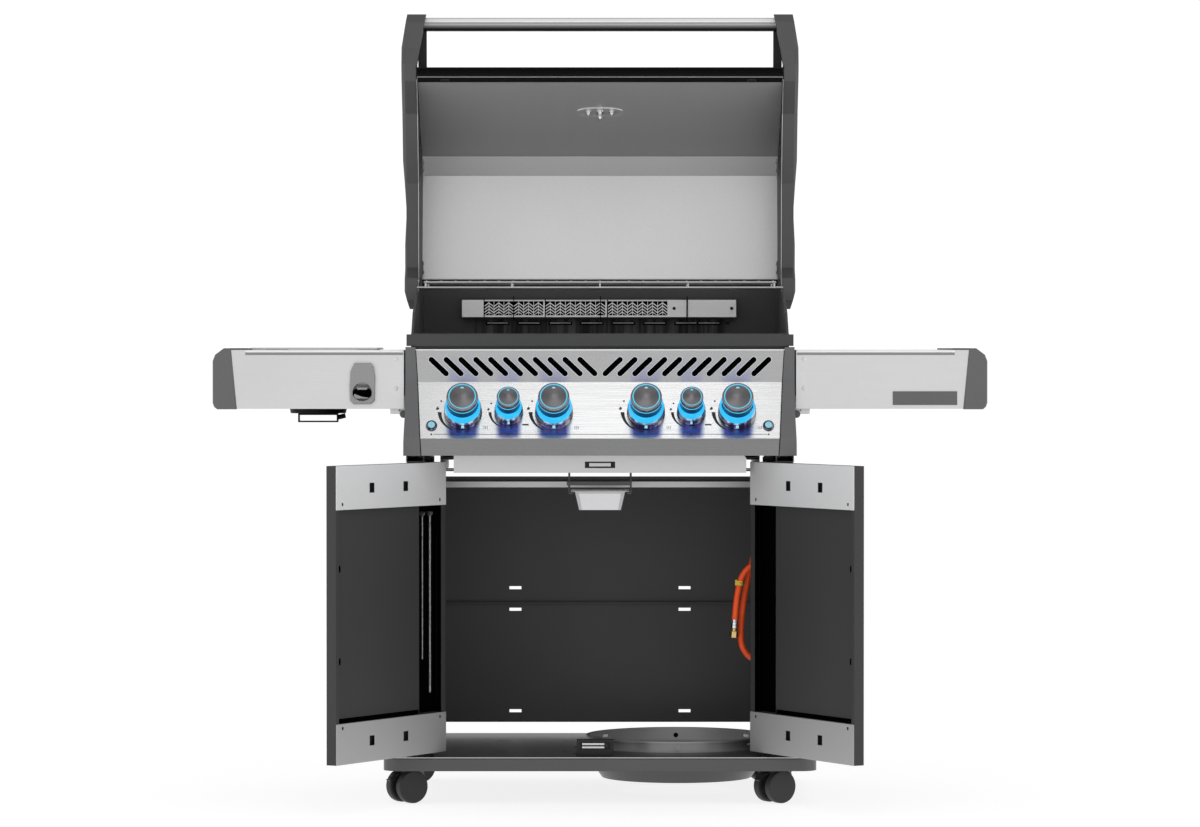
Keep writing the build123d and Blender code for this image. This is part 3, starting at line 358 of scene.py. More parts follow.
NODE_MAT = {
    "base_pan": "base_paint", "tank_ring": "ring_paint", "cabinet_side_left": "dark_paint", "cabinet_side_right": "dark_paint",
    "cabinet_back_lower": "back_paint", "cabinet_back_upper": "back_paint", "rear_frame": "grey_paint", "side_frames": "grey_paint",
    "front_brace": "stainless", "door_magnets": "black_plastic", "door_hinge_pins": "black_paint", "firebox": "cast_paint",
    "rear_burner": "stainless", "burners": "tamer_steel", "flame_tamers": "tamer_steel", "control_panel": "stainless_panel",
    "panel_end_caps": "grey_plastic", "knob_bezels": "bezel_chrome", "gas_manifold": "zinc", "hose_end": "brass",
    "cooking_grids": "stainless_rod", "warming_rack": "rack_wire", "drip_tray": "grey_paint", "grease_cup": "aluminium",
    "lid_skin": "lid_paint", "lid_liner": "liner_grey", "lid_caps": "cap_paint", "lid_handle": "handle_painted_reflection", "lid_gauge": "chrome",
    "left_shelf_panel": "stainless_shelf", "left_shelf_cap": "grey_plastic", "bottle_opener": "cast_grey", "side_burner": "black_paint",
    "burner_cover": "stainless", "right_shelf_panel": "stainless_shelf", "right_shelf_cap": "grey_plastic", "left_door_pan": "door_paint",
    "left_door_plates": "stainless_door", "lighting_rod": "bead_chain", "right_door_pan": "door_paint", "right_door_plates": "stainless_door",
}
for name, o in nodes.items():
    if name.startswith("knob_") and name != "knob_bezels":
        k = "cap_silver"
    elif name.startswith("button_"):
        k = "bezel_chrome"
    elif name.startswith("caster_"):
        k = "wheel_grey" if name.endswith("wheels") else ("fork_metal" if name.endswith("fork") else "black_plastic")
    else:
        k = NODE_MAT.get(name, "dark_paint")
    if len(o.material_slots) == 0:
        o.data.materials.append(M[k].m)
    for s in o.material_slots:
        s.material = M[k].m

# ------------------------------------------------------------------ mesh helpers


def mesh(name, verts, faces, mats, body, idx=None, smooth=False, angle=35):
    me = bpy.data.meshes.new(name)
    me.from_pydata([tuple(v) for v in verts], [], faces)
    bm = bmesh.new()
    bm.from_mesh(me)
    bmesh.ops.remove_doubles(bm, verts=bm.verts, dist=1e-6)
    bmesh.ops.recalc_face_normals(bm, faces=bm.faces)
    bm.to_mesh(me)
    bm.free()
    for m in mats if isinstance(mats, (list, tuple)) else [mats]:
        me.materials.append(M[m].m)
    if idx:
        for p, i in zip(me.polygons, idx):
            p.material_index = i
    if smooth:
        me.shade_smooth()
        me.set_sharp_from_angle(angle=math.radians(angle))
    o = bpy.data.objects.new(name, me)
    scene.collection.objects.link(o)
    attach(o, body)
    return o


class Build:
    """Collects closed shapes, each with its own material, into one piece."""

    def __init__(self):
        self.v, self.f, self.i = [], [], []

    def add(self, verts, faces, k=0):
        n = len(self.v)
        self.v += [Vector(v) for v in verts]
        self.f += [tuple(a + n for a in f) for f in faces]
        self.i += [k] * len(faces)

    def lathe(self, origin, axis, profile, segs=64, k=0, ks=None):
        """profile: (radius mm, height mm) from the bottom of the axis to the top, closed at radius 0 or back on itself."""
        axis = Vector(axis).normalized()
        u = axis.orthogonal().normalized() if abs(axis.x) > 0.9 else Vector((1, 0, 0)).cross(axis).normalized().cross(axis) * -1
        u = (Vector((1, 0, 0)) - axis * axis.x).normalized() if abs(axis.x) < 0.9 else u
        w = axis.cross(u)
        n = len(self.v)
        rings = []
        for r, h in profile:
            c = Vector(origin) + axis * (h / 1000)
            if r < 1e-6:
                rings.append([len(self.v)])
                self.v.append(c)
            else:
                ring = []
                for s in range(segs):
                    a = 2 * math.pi * s / segs
                    ring.append(len(self.v))
                    self.v.append(c + (u * math.cos(a) + w * math.sin(a)) * (r / 1000))
                rings.append(ring)
        closed = profile[0][0] > 1e-6 and profile[-1][0] > 1e-6
        pairs = list(zip(rings, rings[1:])) + ([(rings[-1], rings[0])] if closed else [])
        for q, (a, b) in enumerate(pairs):
            mat = (ks[q] if ks and q < len(ks) else k)
            for s in range(segs):
                t = (s + 1) % segs
                if len(a) == 1 and len(b) == 1:
                    continue
                if len(a) == 1:
                    f = (a[0], b[s], b[t])
                elif len(b) == 1:
                    f = (a[s], a[t], b[0])
                else:
                    f = (a[s], a[t], b[t], b[s])
                self.f.append(f)
                self.i.append(mat)

    def slab(self, pts, thick, k=0, bevel=0.0):
        """Closed prism over a flat loop of points; thick is a vector. A bevel shrinks the far face."""
        pts = [Vector(p) for p in pts]
        t = Vector(thick)
        c = sum(pts, Vector()) / len(pts)
        far = [p + t for p in pts]
        n = len(pts)
        if bevel:
            mid = [p + t * 0.6 for p in pts]
            far = [p + t + (c - p).normalized() * bevel for p in pts]
            rings = [pts, mid, far]
        else:
            rings = [pts, far]
        verts = [p for r in rings for p in r]
        faces = [tuple(range(n))[::-1], tuple(range((len(rings) - 1) * n, len(rings) * n))]
        for q in range(len(rings) - 1):
            for a in range(n):
                b = (a + 1) % n
                faces.append((q * n + a, q * n + b, (q + 1) * n + b, (q + 1) * n + a))
        self.add(verts, faces, k)

    def ring_slab(self, outer, inner, thick, k=0):
        n = len(outer)
        t = Vector(thick)
        o, i = [Vector(p) for p in outer], [Vector(p) for p in inner]
        verts = o + i + [p + t for p in o] + [p + t for p in i]
        faces = []
        for a in range(n):
            b = (a + 1) % n
            faces += [(a, b, n + b, n + a), (2 * n + a, 3 * n + a, 3 * n + b, 2 * n + b), (a, 2 * n + a, 2 * n + b, b), (n + a, n + b, 3 * n + b, 3 * n + a)]
        self.add(verts, faces, k)

    def tube(self, pts, r, k=0, segs=12, closed=False):
        pts = [Vector(p) for p in pts]
        n = len(pts)
        d0 = (pts[1] - pts[0]).normalized()
        u = d0.orthogonal().normalized()
        rings = []
        prev = d0
        for a in range(n):
            if closed:
                d = (pts[(a + 1) % n] - pts[a - 1]).normalized()
            elif a == 0:
                d = d0
            elif a == n - 1:
                d = (pts[-1] - pts[-2]).normalized()
            else:
                d = ((pts[a + 1] - pts[a]).normalized() + (pts[a] - pts[a - 1]).normalized()).normalized()
            q = prev.rotation_difference(d)
            u = (q @ u)
            u = (u - d * u.dot(d)).normalized()
            prev = d
            w = d.cross(u)
            rings.append([pts[a] + (u * math.cos(2 * math.pi * s / segs) + w * math.sin(2 * math.pi * s / segs)) * (r / 1000) for s in range(segs)])
        verts = [p for ring in rings for p in ring]
        faces = []
        for a in range(n if closed else n - 1):
            b = (a + 1) % n
            for s in range(segs):
                t = (s + 1) % segs
                faces.append((a * segs + s, a * segs + t, b * segs + t, b * segs + s))
        if not closed:
            faces += [tuple(range(segs))[::-1], tuple((n - 1) * segs + s for s in range(segs))]
        self.add(verts, faces, k)

    def ball(self, c, r, k=0, seg=10, ring=6):
        prof = [(0.0, -r)] + [(r * math.cos(math.pi * (q / ring - 0.5)), r * math.sin(math.pi * (q / ring - 0.5))) for q in range(1, ring)] + [(0.0, r)]
        self.lathe(c, (0, 0, 1), prof, seg, k)

    def box(self, lo, hi, k=0, xf=None, bevel=0.0):
        """Box with all edges chamfered, optionally put through a transform."""
        lo, hi = Vector(lo), Vector(hi)
        bm = bmesh.new()
        bmesh.ops.create_cube(bm, size=1.0)
        for v in bm.verts:
            v.co = Vector(((lo[q] + hi[q]) / 2 + v.co[q] * (hi[q] - lo[q])) for q in range(3))
        if bevel:
            bmesh.ops.bevel(bm, geom=list(bm.edges), offset=bevel, segments=2, affect="EDGES", profile=0.5)
        bm.verts.index_update()
        verts = [xf(v.co) if xf else v.co.copy() for v in bm.verts]
        faces = [tuple(v.index for v in f.verts) for f in bm.faces]
        bm.free()
        self.add(verts, faces, k)

    def done(self, name, mats, body, smooth=True, angle=35):
        return mesh(name, self.v, self.f, mats, body, self.i, smooth, angle)


def D(x, y, z):
    return P(x, y, z)


def dbox(b, x0, x1, y0, y1, z0, z1, k=0, bevel=0.0004, xf=None):
    b.box(P(x0, y0, z0), P(x1, y1, z1), k, xf, bevel)


# ------------------------------------------------------------------ hose (a cord)
ROUTE = [(345, 112, 700), (345, 112, 652), (342, 124, 602), (333, 142, 553), (320, 152, 505), (308, 154, 455), (298, 152, 405), (293.5, 150, 356),
         (294, 149, 314), (319, 147, 287), (355, 144, 286), (381, 141, 311), (384, 138, 350), (384.5, 135, 392), (382.5, 132, 432), (380.5, 130.5, 467), (355, 129, 492),
         (319, 128, 492), (293.5, 128, 466), (286, 128.5, 429), (282, 129, 399), (280.4, 129.5, 373.6)]
cu = bpy.data.curves.new("gas_hose_tube", "CURVE")
cu.dimensions = "3D"
sp = cu.splines.new("NURBS")
sp.points.add(len(ROUTE) - 1)
for pt, q in zip(sp.points, ROUTE):
    pt.co = (*P(*q), 1.0)
sp.order_u = 3
sp.use_endpoint_u = True
sp.resolution_u = 12
cu.bevel_depth = 0.00625
cu.bevel_resolution = 5
cu.use_fill_caps = True
cu.materials.append(M["orange_rubber"].m)
hose = bpy.data.objects.new("gas_hose_tube", cu)
scene.collection.objects.link(hose)
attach(hose, "cart")
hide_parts("gas_hose")

end_box = Build()
e0, e1 = P(*ROUTE[-1]), P(*ROUTE[-2])
ed = (e0 - e1).normalized()
eo = e0
end_box.lathe(eo, ed, [(0, -0.5), (6.6, -0.5), (7.0, 0.3), (7.0, 3), (6.5, 3.6), (6.5, 5.4), (7.0, 6), (7.0, 9), (6.5, 9.6), (6.5, 11.4), (7.0, 12), (7.0, 16.5), (6.2, 17.2), (0, 17.2)], 32, 0)
end_box.lathe(eo, ed, [(0, 17), (5.0, 17), (5.0, 24), (0, 24)], 32, 1)
end_box.lathe(eo, ed, [(0, 24), (8.4, 24), (9.2, 25), (9.2, 36.6), (8.4, 37.6), (6.2, 37.6), (6.0, 36), (0, 36)], 6, 1)
hose_end = end_box.done("hose_crimp_and_nut", ["chrome", "brass"], "cart", True, 30)
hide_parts("hose_end")

tie = Build()
for q in range(3):
    c = P(289.5, 128.2, 447 + 3.2 * q)
    tie.lathe(c, (0.13, 0, 0.99), [(6.4, -1.4), (7.6, -1.4), (8.0, 0), (7.6, 1.4), (6.4, 1.4)], 28, 0)
tie.box(P(281, 124, 445), P(285, 129, 457), 0, None, 0.0006)
tie.done("hose_tie", ["yellow_tie"], "cart")

# ------------------------------------------------------------------ knobs and their lit bezels
SL = math.hypot(61.0, 115.0)
NRM = Vector((0, -115.0 / SL, 61.0 / SL))
UP = Vector((0, 61.0 / SL, 115.0 / SL))


def face(x, z, t=0.0, up=0.0, side=0.0):
    k = (869.0 - z) / 115.0
    return P(x, -61.0 * k, z) + (NRM * t + UP * up + Vector((side, 0, 0))) * 0.001


def arc(r0, r1, h0, h1, n, a0=0.0, a1=90.0):
    return [(r0 + (r1 - r0) * math.sin(math.radians(a0 + (a1 - a0) * q / n)), h0 + (h1 - h0) * (1 - math.cos(math.radians(a0 + (a1 - a0) * q / n)))) for q in range(n + 1)]


KZ = 806.4
for i, x in enumerate((-280, -186.5, -94, 94, 186.5, 280)):
    big = i not in (1, 4)
    s = 1.0 if big else 23.4 / 32.0
    rr = 39.0 if big else 29.6
    ri = 33.0 if big else 24.5
    b = Build()
    # chrome foot: rolled edge, waist and a stepped collar
    b.lathe(face(x, KZ), NRM, [(ri, 0.1), (rr - 0.8, 0.1), (rr, 1.0), (rr, 3.0), (rr - 0.8, 4.6), (rr - 1.6, 6.5), (rr - 1.9, 10), (rr - 1.5, 14), (rr - 1.0, 18), (rr - 1.2, 20.5),
                                (rr - 2.2, 22.0), (rr - 3.4, 22.4), (ri, 21.5)], 96, 0)
    # lit collar
    ro = rr - 3.2
    b.lathe(face(x, KZ), NRM, [(ri, 21), (ro, 22.0), (ro + 0.4, 25), (ro + 0.2, 33), (ro - 0.6, 38), (ro - 1.6, 41), (ro - 2.4, 42.4), (ri, 42.6)], 96, 1)
    # pointer notch on the foot, towards the front edge, between two facets
    for a in (-90, -66, -114):
        d = (Vector((1, 0, 0)) * math.cos(math.radians(a)) + UP * math.sin(math.radians(a)))
        w = NRM.cross(d)
        c = face(x, KZ, 11.5) + d * ((rr - 1.6) / 1000)
        sz = (0.0032 if a == -90 else 0.0022) * s
        b.slab([c - w * sz - NRM * 0.006, c + w * sz - NRM * 0.006, c + w * sz * 0.8 + NRM * 0.006, c - w * sz * 0.8 + NRM * 0.006], d * 0.0009, 2 if a == -90 else 0, 0.0004)
    bz = b.done(f"knob_bezel_{i + 1}", ["bezel_chrome", "glow_cyan", "glow_icon"], "cart", True, 40)
    if i == 0:
        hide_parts("knob_bezels")
    k = Build()
    R = 32.0 * s
    prof, ks = [(0.0, 8), (R * 0.8, 8), (R * 0.86, 20), (R * 0.93, 34), (R * 0.93, 57.5)], [3, 3, 3, 3]
    prof += [(R * 0.99, 58.2), (R * 0.99, 62.0), (R * 0.93, 62.6), (R * 0.93, 65.4)]
    ks += [3, 2, 3, 3]
    prof += [(R * 1.0, 66.0), (R * 1.0, 70.4), (R * 0.985, 72.2), (R * 0.955, 73.2), (R * 0.91, 73.8), (R * 0.875, 73.9)]
    ks += [0, 0, 0, 0, 0, 0]
    prof += [(R * 0.865, 73.4), (R * 0.81, 73.4), (R * 0.80, 74.0)]
    ks += [2, 2, 0]
    for q in range(1, 9):
        a = q / 8
        prof.append((R * 0.80 * (1 - a), 74.0 + 4.4 * math.sin(a * math.pi / 2)))
        ks.append(1)
    k.lathe(face(x, KZ), NRM, prof, 96, 0, ks)
    # small light mark on the face, towards the top
    m = face(x, KZ, 75.6, 18.5 * s)
    tri = [(-3.9, -1.4), (3.9, -1.4), (2.3, 0.6), (1.0, 0.4), (0.0, 2.4), (-1.0, 0.4), (-2.3, 0.6)]
    k.slab([m + (Vector((1, 0, 0)) * a + UP * c) * (0.001 * s) for a, c in tri], NRM * 0.0016, 4)
    ko = k.done(f"knob_cap_{i + 1}", ["cap_silver", "cap_dome", "glow_ring", "navy", "glow_icon"], f"knob_{i + 1}", True, 32)
    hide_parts(f"knob_{i + 1}")

for nm, x in (("left", -344), ("right", 344)):
    b = Build()
    b.lathe(face(x, 780), NRM, [(9.2, 0.1), (11.6, 0.1), (11.9, 0.8), (11.6, 2.6), (10.6, 4.0), (9.6, 4.2), (9.2, 3.4)], 48, 0)
    b.done(f"button_ring_{nm}", ["bezel_chrome"], "cart")
    b = Build()
    b.lathe(face(x, 780), NRM, [(0, -5), (8.8, -5), (8.8, 4.6), (8.2, 5.8), (7.6, 6.2), (7.2, 5.6)], 48, 0)
    b.lathe(face(x, 780), NRM, [(0, 5.0), (7.3, 5.0), (7.3, 5.8), (5.0, 6.3), (0, 6.7)], 48, 1)
    c = face(x, 780, 6.3)
    arcp = [c + (Vector((1, 0, 0)) * math.cos(math.radians(a)) + UP * math.sin(math.radians(a))) * 0.0038 for a in range(-50, 231, 20)]
    b.tube(arcp, 0.5, 2, 6)
    bo = b.done(f"button_cap_{nm}", ["bezel_chrome", "glow_button", "print_light"], f"button_{nm}")
    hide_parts(f"button_{nm}")

# ------------------------------------------------------------------ fascia: slot rims and printed marks
b = Build()


def stadium(ax_, az, bx_, bz, r, n=8):
    a, c = Vector((ax_, 0, az)), Vector((bx_, 0, bz))
    d = (c - a).normalized()
    w = Vector((-d.z, 0, d.x))
    pts = []
    for q in range(n + 1):
        t = math.radians(-90 + 180 * q / n)
        pts.append(c + d * (r * math.cos(t)) + w * (r * math.sin(t)))
    for q in range(n + 1):
        t = math.radians(90 + 180 * q / n)
        pts.append(a + d * (r * math.cos(t)) + w * (r * math.sin(t)))
    return pts


for i in range(11):
    x = -346 + 30.5 * i
    for s in (-1, 1):
        o = [P(p.x, -0.02, p.z) for p in stadium(s * x, 915.2, s * (x + 30.3), 886.4, 6.9)]
        n_ = [P(p.x, -0.02, p.z) for p in stadium(s * x, 915.2, s * (x + 30.3), 886.4, 5.55)]
        b.ring_slab(o, n_, (0, -0.0006, 0), 0)
b.done("louvre_rims", ["print_light"], "cart", False)

b = Build()
for q, (x, z0) in enumerate([(0, 0)]):
    # dark sheet behind the louvres: painted shade standing in for the shade inside the panel
    dbox(b, -358, 358, 3.0, 4.2, 872, 930, 0)
b.done("louvre_painted_shade", ["black_void"], "cart")

b = Build()
for x in (-280, -186.5, -94, 94, 186.5, 280):
    s = 1.0 if abs(x) != 186.5 else 0.80
    c = face(x, KZ, 0.06)
    X = Vector((1, 0, 0))

    def at(r, a):
        return c + (X * math.cos(math.radians(a)) + UP * math.sin(math.radians(a))) * (r * s / 1000)
    steps = 18
    outer = [at(52.0 - 6.6 * q / steps, 178 + 62 * q / steps) for q in range(steps + 1)]
    innr = [at(44.0 - 0.2 * q / steps, 178 + 62 * q / steps) for q in range(steps + 1)]
    for q in range(steps):
        b.slab([outer[q], outer[q + 1], innr[q + 1], innr[q]], NRM * 0.00018, 0)
    # plain flame mark
    f0 = at(53.5, 169)
    fl = [(0, 4.6), (1.6, 1.8), (3.0, 2.6), (3.3, -0.4), (2.0, -2.8), (-0.4, -3.4), (-2.6, -2.6), (-3.2, -0.4), (-1.6, 0.2), (-1.0, 2.4)]
    b.slab([f0 + X * (p * s / 1000) + UP * (t * s / 1000) for p, t in fl], NRM * 0.00018, 0)
    f1 = at(52.5, 149)
    b.slab([f1 + X * (1.9 * math.cos(a * math.pi / 6) / 1000) + UP * (1.9 * math.sin(a * math.pi / 6) / 1000) for a in range(12)], NRM * 0.00018, 0)
    f2 = face(x + 43 * s, KZ - 30 * s, 0.06)
    w, h = ((5.5, 7.5) if abs(x) != 186.5 else (13, 3))
    for q in range(3 if abs(x) != 186.5 else 1):
        g = f2 + X * (0.0034 * q)
        ww = (w / 3 * 0.55) if abs(x) != 186.5 else w
        b.slab([g + X * (p * ww / 2000) + UP * (t * h / 2000) for p, t in ((-1, -1), (1, -1), (1, 1), (-1, 1))], NRM * 0.00018, 0)
# the thin line that joins the buttons' marks
for x0, x1 in ((-340, -188), (-184, 184), (188, 340)):
    a_, c_ = face(x0, 763, 0.06), face(x1, 763, 0.06)
    b.slab([a_ - UP * 0.0005, c_ - UP * 0.0005, c_ + UP * 0.0005, a_ + UP * 0.0005], NRM * 0.00015, 1)
for x in (-344, -186.5, 186.5, 344):
    f1 = face(x, 763, 0.06)
    b.slab([f1 + Vector((1, 0, 0)) * (1.9 * math.cos(a * math.pi / 6) / 1000) + UP * (1.9 * math.sin(a * math.pi / 6) / 1000) for a in range(12)], NRM * 0.0002, 0)
b.done("fascia_print", ["print_dark", "grey_paint"], "cart", False)

# ------------------------------------------------------------------ rear burner: chevron-perforated face with guard wires
b = Build()
FY = 498.6
X0, X1, Z0, Z1 = -299, 295, 1004, 1044


def plate(x0, x1, z0, z1, k=0):
    dbox(b, x0, x1, FY, FY + 1.4, z0, z1, k, 0.0)


secs = [(-250, -122), (-118, 12), (16, 146)]
xs = [X0] + [v for s_ in secs for v in s_] + [X1]
for a in range(0, len(xs), 2):
    plate(xs[a], xs[a + 1], Z0, Z1)
COL, STEP, BAR = 10.8, 6.6, 2.7
for x0, x1 in secs:
    plate(x0, x1, Z0, Z0 + 5)
    plate(x0, x1, Z1 - 4.5, Z1)
    dbox(b, x0 - 1.1, x0 + 1.1, FY - 0.3, FY + 0.05, Z0 + 0.5, Z1 - 0.5, 1, 0.0)
    n = int(round((x1 - x0) / COL))
    dx = (x1 - x0) / n
    lo_, hi_ = Z0 + 5, Z1 - 4.5
    for q in range(n):
        xa, xb = x0 + dx * q + 0.6, x0 + dx * (q + 1) - 0.6
        rise = 7.2 if q % 2 == 0 else -7.2
        z_ = lo_ - 8
        while z_ < hi_ + 8:
            pts = []
            for px_, pz_ in ((xa, z_), (xb, z_ + rise), (xb, z_ + rise + BAR), (xa, z_ + BAR)):
                pz_ = min(max(pz_, lo_), hi_)
                if not pts or abs(pts[-1][0] - px_) + abs(pts[-1][1] - pz_) > 0.05:
                    pts.append((px_, pz_))
            if len(pts) > 3 and abs(pts[0][1] - pts[3][1]) > 0.3 and abs(pts[1][1] - pts[2][1]) > 0.3:
                b.slab([P(px_, FY + 0.1, pz_) for px_, pz_ in pts], (0, 0.0012, 0), 0, 0.0)
            z_ += STEP
    for q in range(n + 1):
        xa = x0 + dx * q
        dbox(b, max(xa - 0.6, x0 - 0.3), min(xa + 0.6, x1 + 0.3), FY + 0.12, FY + 1.28, lo_ - 0.5, hi_ + 0.5, 0, 0)
for x in (188.0,):
    dbox(b, x - 1.6, x + 1.6, FY - 1.0, FY - 0.2, Z0 + 1, Z1 - 1, 2, 0.0)
# painted shade: a black plate just behind the perforated face, and the black strips at each section's left end, stand
# in for the shade behind the openings and gaps
dbox(b, -297, 293, 502.0, 503, 1005.6, 1042.4, 1, 0)
for z0, z1 in ((1004, 1005.4), (1042.6, 1044)):
    dbox(b, X0, X1, FY, 530, z0, z1, 0, 0.0)
for x0, x1 in ((X0, X0 + 1.4), (X1 - 1.4, X1)):
    dbox(b, x0, x1, FY, 530, Z0, Z1, 0, 0.0)
for x in (-186, 1, 188):
    b.tube([P(x, 503, 1000), P(x, 494, 998), P(x, 492, 1004), P(x, 492, 1044), P(x, 494, 1050), P(x, 503, 1048)], 0.9, 1, 10)
for x in (-200, 200):
    dbox(b, x - 12, x + 12, 529, 544.9, 1012, 1036, 0, 0.0005)
for x in (284, 160):
    b.lathe(P(x, FY, 1024), (0, -1, 0), [(3.6, -0.2), (3.6, 0.6), (2.6, 1.5), (0, 1.8)], 16, 2)
rb_ = b.done("rear_burner_face", ["stainless_painted_highlight", "black_void", "black_plastic"], "cart", True, 30)
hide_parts("rear_burner")

# ------------------------------------------------------------------ lid fittings (drawn closed, then turned open)
OPEN = math.radians(-87.0)
PV = P(0, 480, 1062)
RX = Matrix.Rotation(OPEN, 3, "X")


def L(x, y, z):
    v = P(x, y, z) - PV
    return PV + RX @ v


def Ldir(x, y, z):
    return RX @ Vector((x, y, z))


GD, GN = Vector((0, 0.541, 0.841)), Vector((0, -0.841, 0.541))


def lid_front(x, up, t=0.0):
    """Point on the inside of the lid's sloping front: up from its lip, t outwards."""
    return L(x, 22 + GD.y * up + GN.y * t, 974 + GD.z * up + GN.z * t)


b = Build()
# pressed recess plate round the gauge's probe
n = 40
o, i_, c0 = [], [], []
for q in range(n):
    a = 2 * math.pi * q / n
    ca, sa = math.cos(a), math.sin(a)
    ex = 1 / (abs(ca) ** 2.6 + abs(sa) ** 2.6) ** (1 / 2.6)
    o.append((51 * ca * ex, 19 * sa * ex))
    i_.append((45 * ca * ex, 14 * sa * ex))
UPG = 138.0
verts = [lid_front(x, UPG + y, -0.1) for x, y in o] + [lid_front(x * 0.97, UPG + y * 0.95, -1.6) for x, y in o] + [lid_front(x, UPG + y, -0.6) for x, y in i_]
verts += [lid_front(x, UPG + y, 0.6) for x, y in o]
faces = []
for q in range(n):
    t = (q + 1) % n
    faces += [(q, t, n + t, n + q), (n + q, n + t, 2 * n + t, 2 * n + q), (3 * n + q, 3 * n + t, t, q)]
faces += [tuple(range(2 * n, 3 * n)), tuple(range(3 * n, 4 * n))[::-1]]
b.add(verts, faces, 0)
for x in (-25, 25):
    b.lathe(lid_front(x, UPG, -0.6), Ldir(*(-GN)), [(6.5, -0.5), (6.5, 0.8), (6.0, 1.2), (4.6, 1.2), (4.6, 4.6), (3.8, 5.4), (0, 5.4)], 24, 1)
    b.lathe(lid_front(x, UPG, -5.9), Ldir(*(-GN)), [(2.6, -0.2), (2.6, 2.4), (2.0, 3.0), (0, 3.0)], 16, 1)
b.lathe(lid_front(0, UPG, -0.6), Ldir(*(-GN)), [(8.0, -0.5), (8.0, 2.0), (7.0, 2.8), (4.2, 2.8), (4.2, 10), (3.6, 15), (2.4, 16.5), (0, 17)], 28, 1)
b.done("gauge_recess", ["liner_grey", "chrome"], "lid")

b = Build()
go = lid_front(0, UPG, 16.2)
b.lathe(go, Ldir(*GN), [(0, -0.8), (33, -0.8), (34, 0.6), (34, 9), (33, 13), (30.5, 15.5), (29.5, 15.2), (29, 13.4), (29, 11)], 96, 0)
b.lathe(go, Ldir(*GN), [(0, 10.2), (29.4, 10.2), (29.4, 11.2), (0, 11.2)], 64, 1)
gx, gy_ = Vector((1, 0, 0)), Ldir(*GD)
for q in range(31):
    a = math.radians(225 - 270 * q / 30)
    d = gx * -math.cos(a) * -1 + gy_ * math.sin(a)
    w = Ldir(*GN).cross(d)
    r0, r1, ww = (20 if q % 5 == 0 else 22.5), 26, (0.55 if q % 5 == 0 else 0.3)
    c1, c2 = go + Ldir(*GN) * 0.01125 + d * r0 / 1000, go + Ldir(*GN) * 0.01125 + d * r1 / 1000
    b.slab([c1 - w * ww / 1000, c2 - w * ww / 1000, c2 + w * ww / 1000, c1 + w * ww / 1000], Ldir(*GN) * 0.0003, 2)
d = gx * -0.62 + gy_ * -0.785
d = d.normalized()
w = Ldir(*GN).cross(d)
c1, c2 = go + Ldir(*GN) * 0.0122 - d * 0.006, go + Ldir(*GN) * 0.0122 + d * 0.019
b.slab([c1 - w * 0.0012, c2 - w * 0.0003, c2 + w * 0.0003, c1 + w * 0.0012], Ldir(*GN) * 0.0004, 3)
b.lathe(go + Ldir(*GN) * 0.0122, Ldir(*GN), [(3.2, 0), (3.2, 0.9), (2.4, 1.4), (0, 1.4)], 24, 0)
g_ = b.done("temperature_gauge", ["chrome", "white_dial", "print_dark", "yellow_tie"], "lid")
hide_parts("lid_gauge")

b = Build()
# lip tabs, side screws and clips inside the lid
for x in (-330, 323):
    p = lid_front(x, 12, -0.2)
    b.slab([lid_front(x - 9, 3, -0.3), lid_front(x + 9, 3, -0.3), lid_front(x + 9, 14, -0.3), lid_front(x - 9, 14, -0.3)], Ldir(*(-GN)) * 0.004, 0, 0.001)
for s in (-1, 1):
    for up, t in ((20, -14), (52, -16), (150, -22), (176, -60), (214, -50)):
        p = lid_front(s * 389.3, up + 10, t)
        hh = 0.45 if up < 100 else 1.0
        b.lathe(p, (-s, 0, 0), [(4.6, -0.2), (4.6, 1.4 * hh), (3.6, 2.1 * hh), (0, 2.3 * hh)], 20, 1)
    # hooked clips that hold the liner
    for yy, zz in ((215, 1225), (436, 1204)):
        dboxp = [L(s * 389.2, yy - 16, zz - 10), L(s * 389.2, yy + 16, zz - 10), L(s * 389.2, yy + 16, zz + 10), L(s * 389.2, yy - 16, zz + 10)]
        b.slab(dboxp, (-s * 0.0035, 0, 0), 1, 0.001)
        for dy in (-9, 9):
            b.lathe(L(s * 385.6, yy + dy, zz), (-s, 0, 0), [(3.4, -0.4), (3.4, 1.6), (2.4, 2.4), (0, 2.6)], 14, 2)
b.done("lid_inner_fasteners", ["black_plastic", "grey_paint", "chrome"], "lid")

# black side linings and front lip, a black strip on the rear facet, and a lighter slab on the liner's middle facet as
# painted light
b = Build()
lin = [(30, 986), (194, 1236), (237, 1270), (458, 1229), (484, 1168), (470, 1100), (440, 1072), (250, 1070), (100, 1027)]
for s in (-1, 1):
    b.slab([L(s * 389.35, y, z) for y, z in lin], (-s * 0.0008, 0, 0), 0)
b.slab([lid_front(-388.4, 0.0, -0.15), lid_front(388.4, 0.0, -0.15), lid_front(388.4, 17, -0.15), lid_front(-388.4, 17, -0.15)], Ldir(*(-GN)) * 0.0015, 0, 0.0004)
b.slab([L(-388.6, 463.2, 1228.0), L(388.6, 463.2, 1228.0), L(388.6, 487.2, 1167.4), L(-388.6, 487.2, 1167.4)], Ldir(0, -0.0007, -0.0003), 0, 0.0)
# painted light: a lighter copy of the liner laid on the middle facet, standing in for the light that facet catches
b.slab([L(-388.6, 193.4, 1239.9), L(388.6, 193.4, 1239.9), L(388.6, 235.6, 1273.6), L(-388.6, 235.6, 1273.6)], Ldir(0, 0.00025, -0.0003), 1, 0.0)
b.done("lid_black_lining", ["black_paint", "liner_painted_light"], "lid", False)

# ------------------------------------------------------------------ small fittings seen from the front
b = Build()
